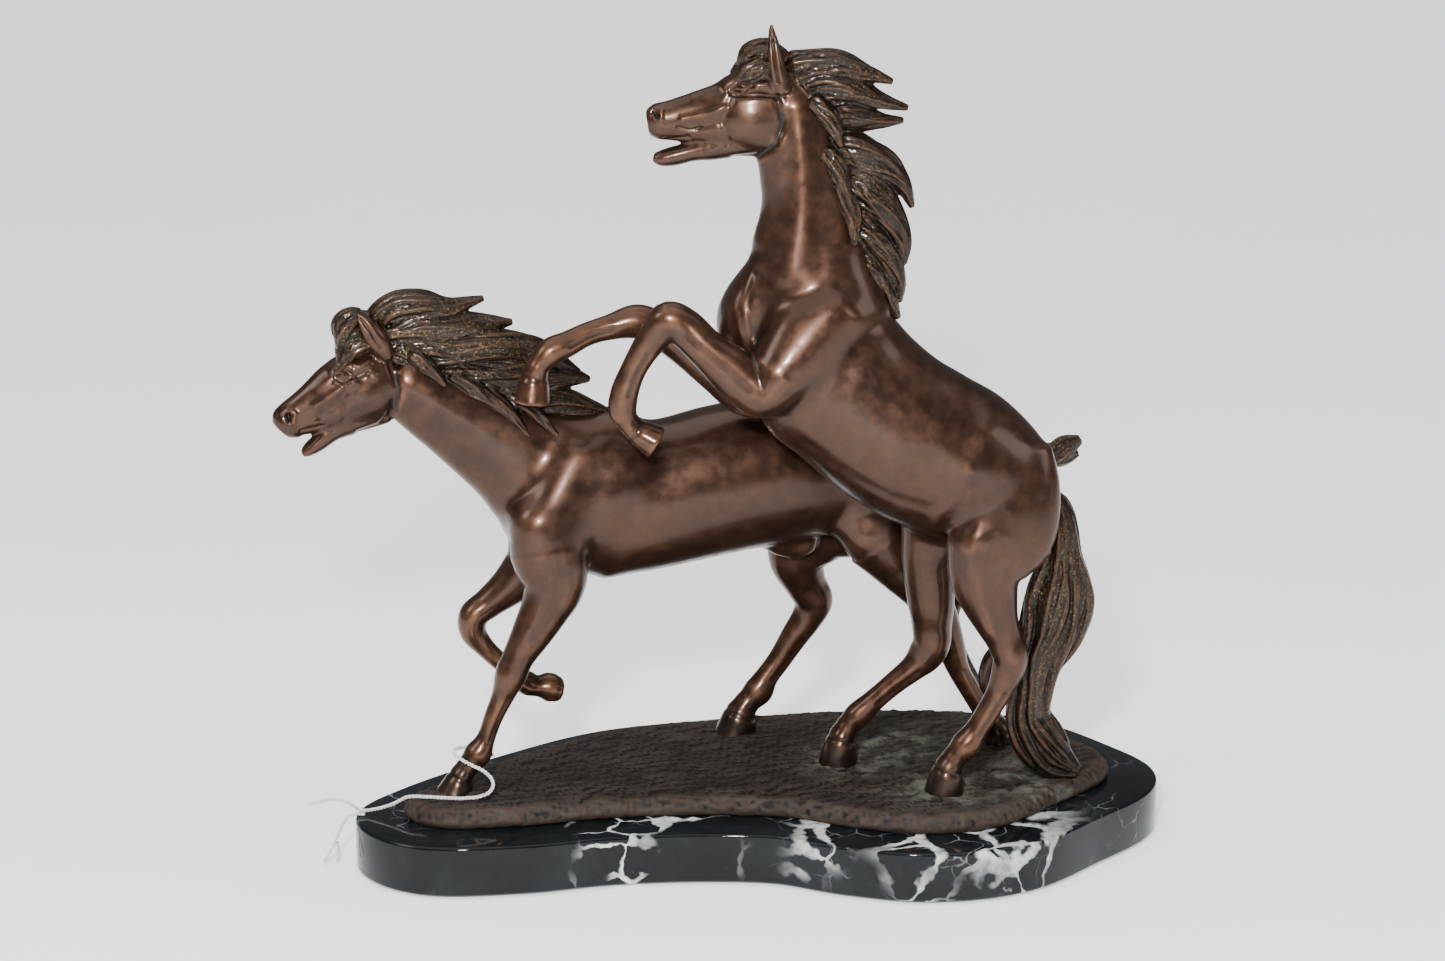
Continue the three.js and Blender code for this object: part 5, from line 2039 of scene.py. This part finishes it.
    def dress_fixings(self) -> None:
        """Gives the studs, washers and nuts their plated steel."""
        steel = ZincSteel().material()
        for kind in ("mounting_stud", "stud_washer", "stud_nut"):
            for number in range(1, len(STUD_PLACES) + 1):
                node = bpy.data.objects[f"{kind}_{number}"]
                for place in node.material_slots:
                    place.material = steel


def waves(places: np.ndarray, seed: int, length: float, stretch: tuple[float, float, float]) -> np.ndarray:
    """Smooth unevenness between about -1 and 1.

    Args:
        places: Where it is wanted.
        seed: Start of its random draws.
        length: Distance from crest to crest.
        stretch: Factor on each coordinate, small where the relief runs long.

    Returns:
        One value for each place.
    """
    rng = np.random.default_rng(seed)
    total = np.zeros(len(places))
    count = 9
    for _ in range(count):
        direction = rng.normal(size=3)
        direction *= np.array(stretch) / np.linalg.norm(direction)
        pitch = length * rng.uniform(0.7, 1.5)
        warp = 0.9 * np.sin(places @ rng.normal(size=3) / (2.5 * length) + rng.uniform(0, math.tau))
        total += np.sin(math.tau * (places @ direction) / pitch + rng.uniform(0, math.tau) + warp)
    return total / math.sqrt(count)


# ---- string -------------------------------------------------------------------------------------


@dataclass
class TagString:
    """The cotton string tied round a pastern, whose end lies over the marble's edge.

    Attributes:
        plies: How many plies are twisted together.
        pitch: Length of one full twist.
        step: Distance between two points of a ply.
        ply_offset: Distance of a ply from the string's middle, as a share of its diameter.
        ply_radius: Radius of a ply, as a share of the string's diameter.
        lean: A direction that the string never runs in, from which the twist is counted.
    """

    plies: int = 2
    pitch: float = 3.4
    step: float = 0.25
    ply_offset: float = 0.24
    ply_radius: float = 0.265
    lean: tuple[float, float, float] = (0.13, 0.21, 0.97)

    def yarn(self, route: Rows, seed: int) -> tuple[bpy.types.Mesh, list[tuple[float, ...]]]:
        """Twists plies along a route.

        Args:
            route: Points that the string passes.
            seed: Start of its random draws.

        Returns:
            The mesh, and the points of its centreline in metres.
        """
        rng = np.random.default_rng(seed)
        line = spline(np.array(route, dtype=float), self.step)
        forward = np.gradient(line, axis=0)
        forward /= np.linalg.norm(forward, axis=1)[:, None]
        side = np.cross(forward, self.lean)
        side /= np.linalg.norm(side, axis=1)[:, None]
        rise = np.cross(side, forward)
        run = np.concatenate([[0], np.cumsum(np.linalg.norm(np.diff(line, axis=0), axis=1))])
        curve = tube_curve("plies", 2)
        for ply in range(self.plies):
            turn = math.tau * (run / self.pitch + ply / self.plies)
            slack = 1 + 0.08 * np.sin(run * 1.7 + rng.uniform(0, 6))
            offset = self.ply_offset * STRING_DIAMETER * slack
            points = line + offset[:, None] * (np.cos(turn)[:, None] * side + np.sin(turn)[:, None] * rise)
            unevenness = 1 + 0.07 * np.sin(run * 2.9 + rng.uniform(0, 6))
            add_tube(curve, points, self.ply_radius * STRING_DIAMETER * unevenness)
        centre = [tuple(float(part) * MM for part in point) for point in line]
        return shaded_smooth(evaluated(curve)), centre

    def build(self) -> None:
        cotton = Cotton().material()
        tip_mesh, _ = self.yarn(STRING_TIP, 5)
        tip = finished(tip_mesh, "string_tip_yarn", Matrix.Scale(MM, 4), cotton, Slot.COTTON,
                       "tag_string_tip")
        for part, route, seed, extras in (("lead", STRING_LEAD, 3, [tip]), ("end", STRING_END, 4, [])):
            mesh, centre = self.yarn(route, seed)
            piece = finished(mesh, f"string_{part}_yarn", Matrix.Scale(MM, 4), cotton, Slot.COTTON,
                             f"tag_string_{part}")


# ---- stage --------------------------------------------------------------------------------------


@dataclass(frozen=True)
class Lamp:
    """One square soft light.

    Attributes:
        name: Its name.
        place: Where it hangs, in metres.
        size: Length of its sides.
        power: Its power.
    """

    name: str
    place: tuple[float, float, float]
    size: float
    power: float


@dataclass
class Studio:
    """Pale floor, soft lights and the camera.

    Attributes:
        camera_place: Where the camera stands.
        camera_pitch: Its tilt, with a quarter turn being level.
        lens: Its focal length.
        sensor: Width of its sensor.
        aim: The point that all lamps are turned to.
        lamps: The lamps.
        fill_strength: Light from all round.
        backdrop_strength: Brightness of the background behind the floor.
        backdrop_colour: Its colour.
        ceiling_strength: Light from above.
        ceiling_spread: How wide that light spreads.
        floor_glow: Light that the floor gives by itself.
        floor_reach: Half the floor's breadth, in metres.
        floor_dark: Darker tone of the floor.
        floor_light: Lighter tone of the floor.
    """

    camera_place: tuple[float, float, float] = (-0.0152, -1.464, 0.545)
    camera_pitch: float = math.radians(75.7)
    lens: float = 80.0
    sensor: float = 36.0
    aim: tuple[float, float, float] = (0, 0, 0.18)
    lamps: tuple[Lamp, ...] = (
        Lamp("front_flash", (-0.14, -1.43, 0.80), 0.11, 33),
        Lamp("left_softbox", (-1.35, -0.55, 1.25), 0.6, 8),
        Lamp("right_softbox", (1.5, -0.4, 0.9), 0.6, 4),
    )
    fill_strength: float = 0.15
    backdrop_strength: float = 1.5
    backdrop_colour: Colour = (0.95, 0.97, 1.0, 1)
    ceiling_strength: float = 2.1
    ceiling_spread: float = math.radians(80)
    floor_glow: float = 0.65
    floor_reach: float = 6.0
    floor_dark: Colour = (0.93, 0.93, 0.925, 1)
    floor_light: Colour = (0.95, 0.95, 0.945, 1)

    def build_camera(self) -> None:
        """Sets the camera in front of the group, looking slightly down."""
        data = bpy.data.cameras.new("studio_camera")
        data.lens = self.lens
        data.sensor_width = self.sensor
        camera = bpy.data.objects.new("studio_camera", data)
        camera.location = self.camera_place
        camera.rotation_euler = (self.camera_pitch, 0, 0)
        bpy.context.scene.collection.objects.link(camera)
        bpy.context.scene.camera = camera

    def build_lamp(self, lamp: Lamp) -> None:
        """Hangs one lamp, turned to the group.

        Args:
            lamp: The lamp.
        """
        data = bpy.data.lights.new(lamp.name, "AREA")
        data.size = lamp.size
        data.energy = lamp.power
        holder = bpy.data.objects.new(lamp.name, data)
        holder.location = lamp.place
        towards = Vector(self.aim) - Vector(lamp.place)
        holder.rotation_euler = towards.to_track_quat("-Z", "Y").to_euler()
        bpy.context.scene.collection.objects.link(holder)

    def build_floor(self) -> None:
        """Lays the pale floor."""
        form = bmesh.new()
        bmesh.ops.create_grid(form, x_segments=8, y_segments=8, size=self.floor_reach)
        mesh = into_mesh(form)
        graph = Graph("studio_paper")
        tone = graph.span(graph.noise(3, 2), 0.3, 0.7)
        graph.setting(Base_Color=graph.mix(tone, self.floor_dark, self.floor_light), Roughness=0.9)
        graph.setting(Specular_IOR_Level=0.0)
        graph.setting(Emission_Color=(1, 1, 1, 1), Emission_Strength=self.floor_glow)
        mesh.materials.append(graph.material)
        floor = bpy.data.objects.new("studio_floor", mesh)
        bpy.context.scene.collection.objects.link(floor)

    def build_backdrop(self) -> None:
        """Sets a background that is bright to look at and gives little light."""
        world = bpy.data.worlds.new("studio_world")
        world.use_nodes = True
        tree = world.node_tree
        background = tree.nodes["Background"]
        background.inputs["Color"].default_value = self.backdrop_colour
        sight = tree.nodes.new("ShaderNodeLightPath").outputs["Is Camera Ray"]
        strength = tree.nodes.new("ShaderNodeMapRange")
        strength.inputs["To Min"].default_value = self.fill_strength
        strength.inputs["To Max"].default_value = self.backdrop_strength
        tree.links.new(sight, strength.inputs["Value"])
        tree.links.new(strength.outputs["Result"], background.inputs["Strength"])
        bpy.context.scene.world = world

    def build_ceiling(self) -> None:
        """Lights the whole floor evenly from above, without a hard shadow."""
        data = bpy.data.lights.new("white_ceiling", "SUN")
        data.energy = self.ceiling_strength
        data.angle = self.ceiling_spread
        bpy.context.scene.collection.objects.link(bpy.data.objects.new("white_ceiling", data))

    def build(self) -> None:
        """Lays the floor and hangs the lights."""
        self.build_floor()
        self.build_backdrop()
        for lamp in self.lamps:
            self.build_lamp(lamp)
        self.build_ceiling()


def main() -> None:
    """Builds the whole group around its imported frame."""
    logging.basicConfig(level=logging.INFO, format="%(name)s %(message)s")
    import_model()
    studio = Studio()
    studio.build_camera()
    TagString().build()
    studio.build()
    base = Base()
    base.build_marble()
    base.build_ground()
    base.build_felt()
    base.dress_fixings()
    bronze = Patina("horse_patina").material()
    hair = Patina("hair_patina", shade=(0.009, 0.006, 0.0042, 1), body=(0.020, 0.0115, 0.0075, 1),
                  worn=(0.070, 0.032, 0.016, 1), grime_and_shade=(0.005, 0.0052, 0.0038, 1), gold_share=0.5,
                  roughness=0.36, grain=0.2, hairy=True).material()
    for horse in (running_horse(), rearing_horse()):
        horse.build_castings(bronze)
        horse.build_hair(hair)


if __name__ == "__main__":
    main()
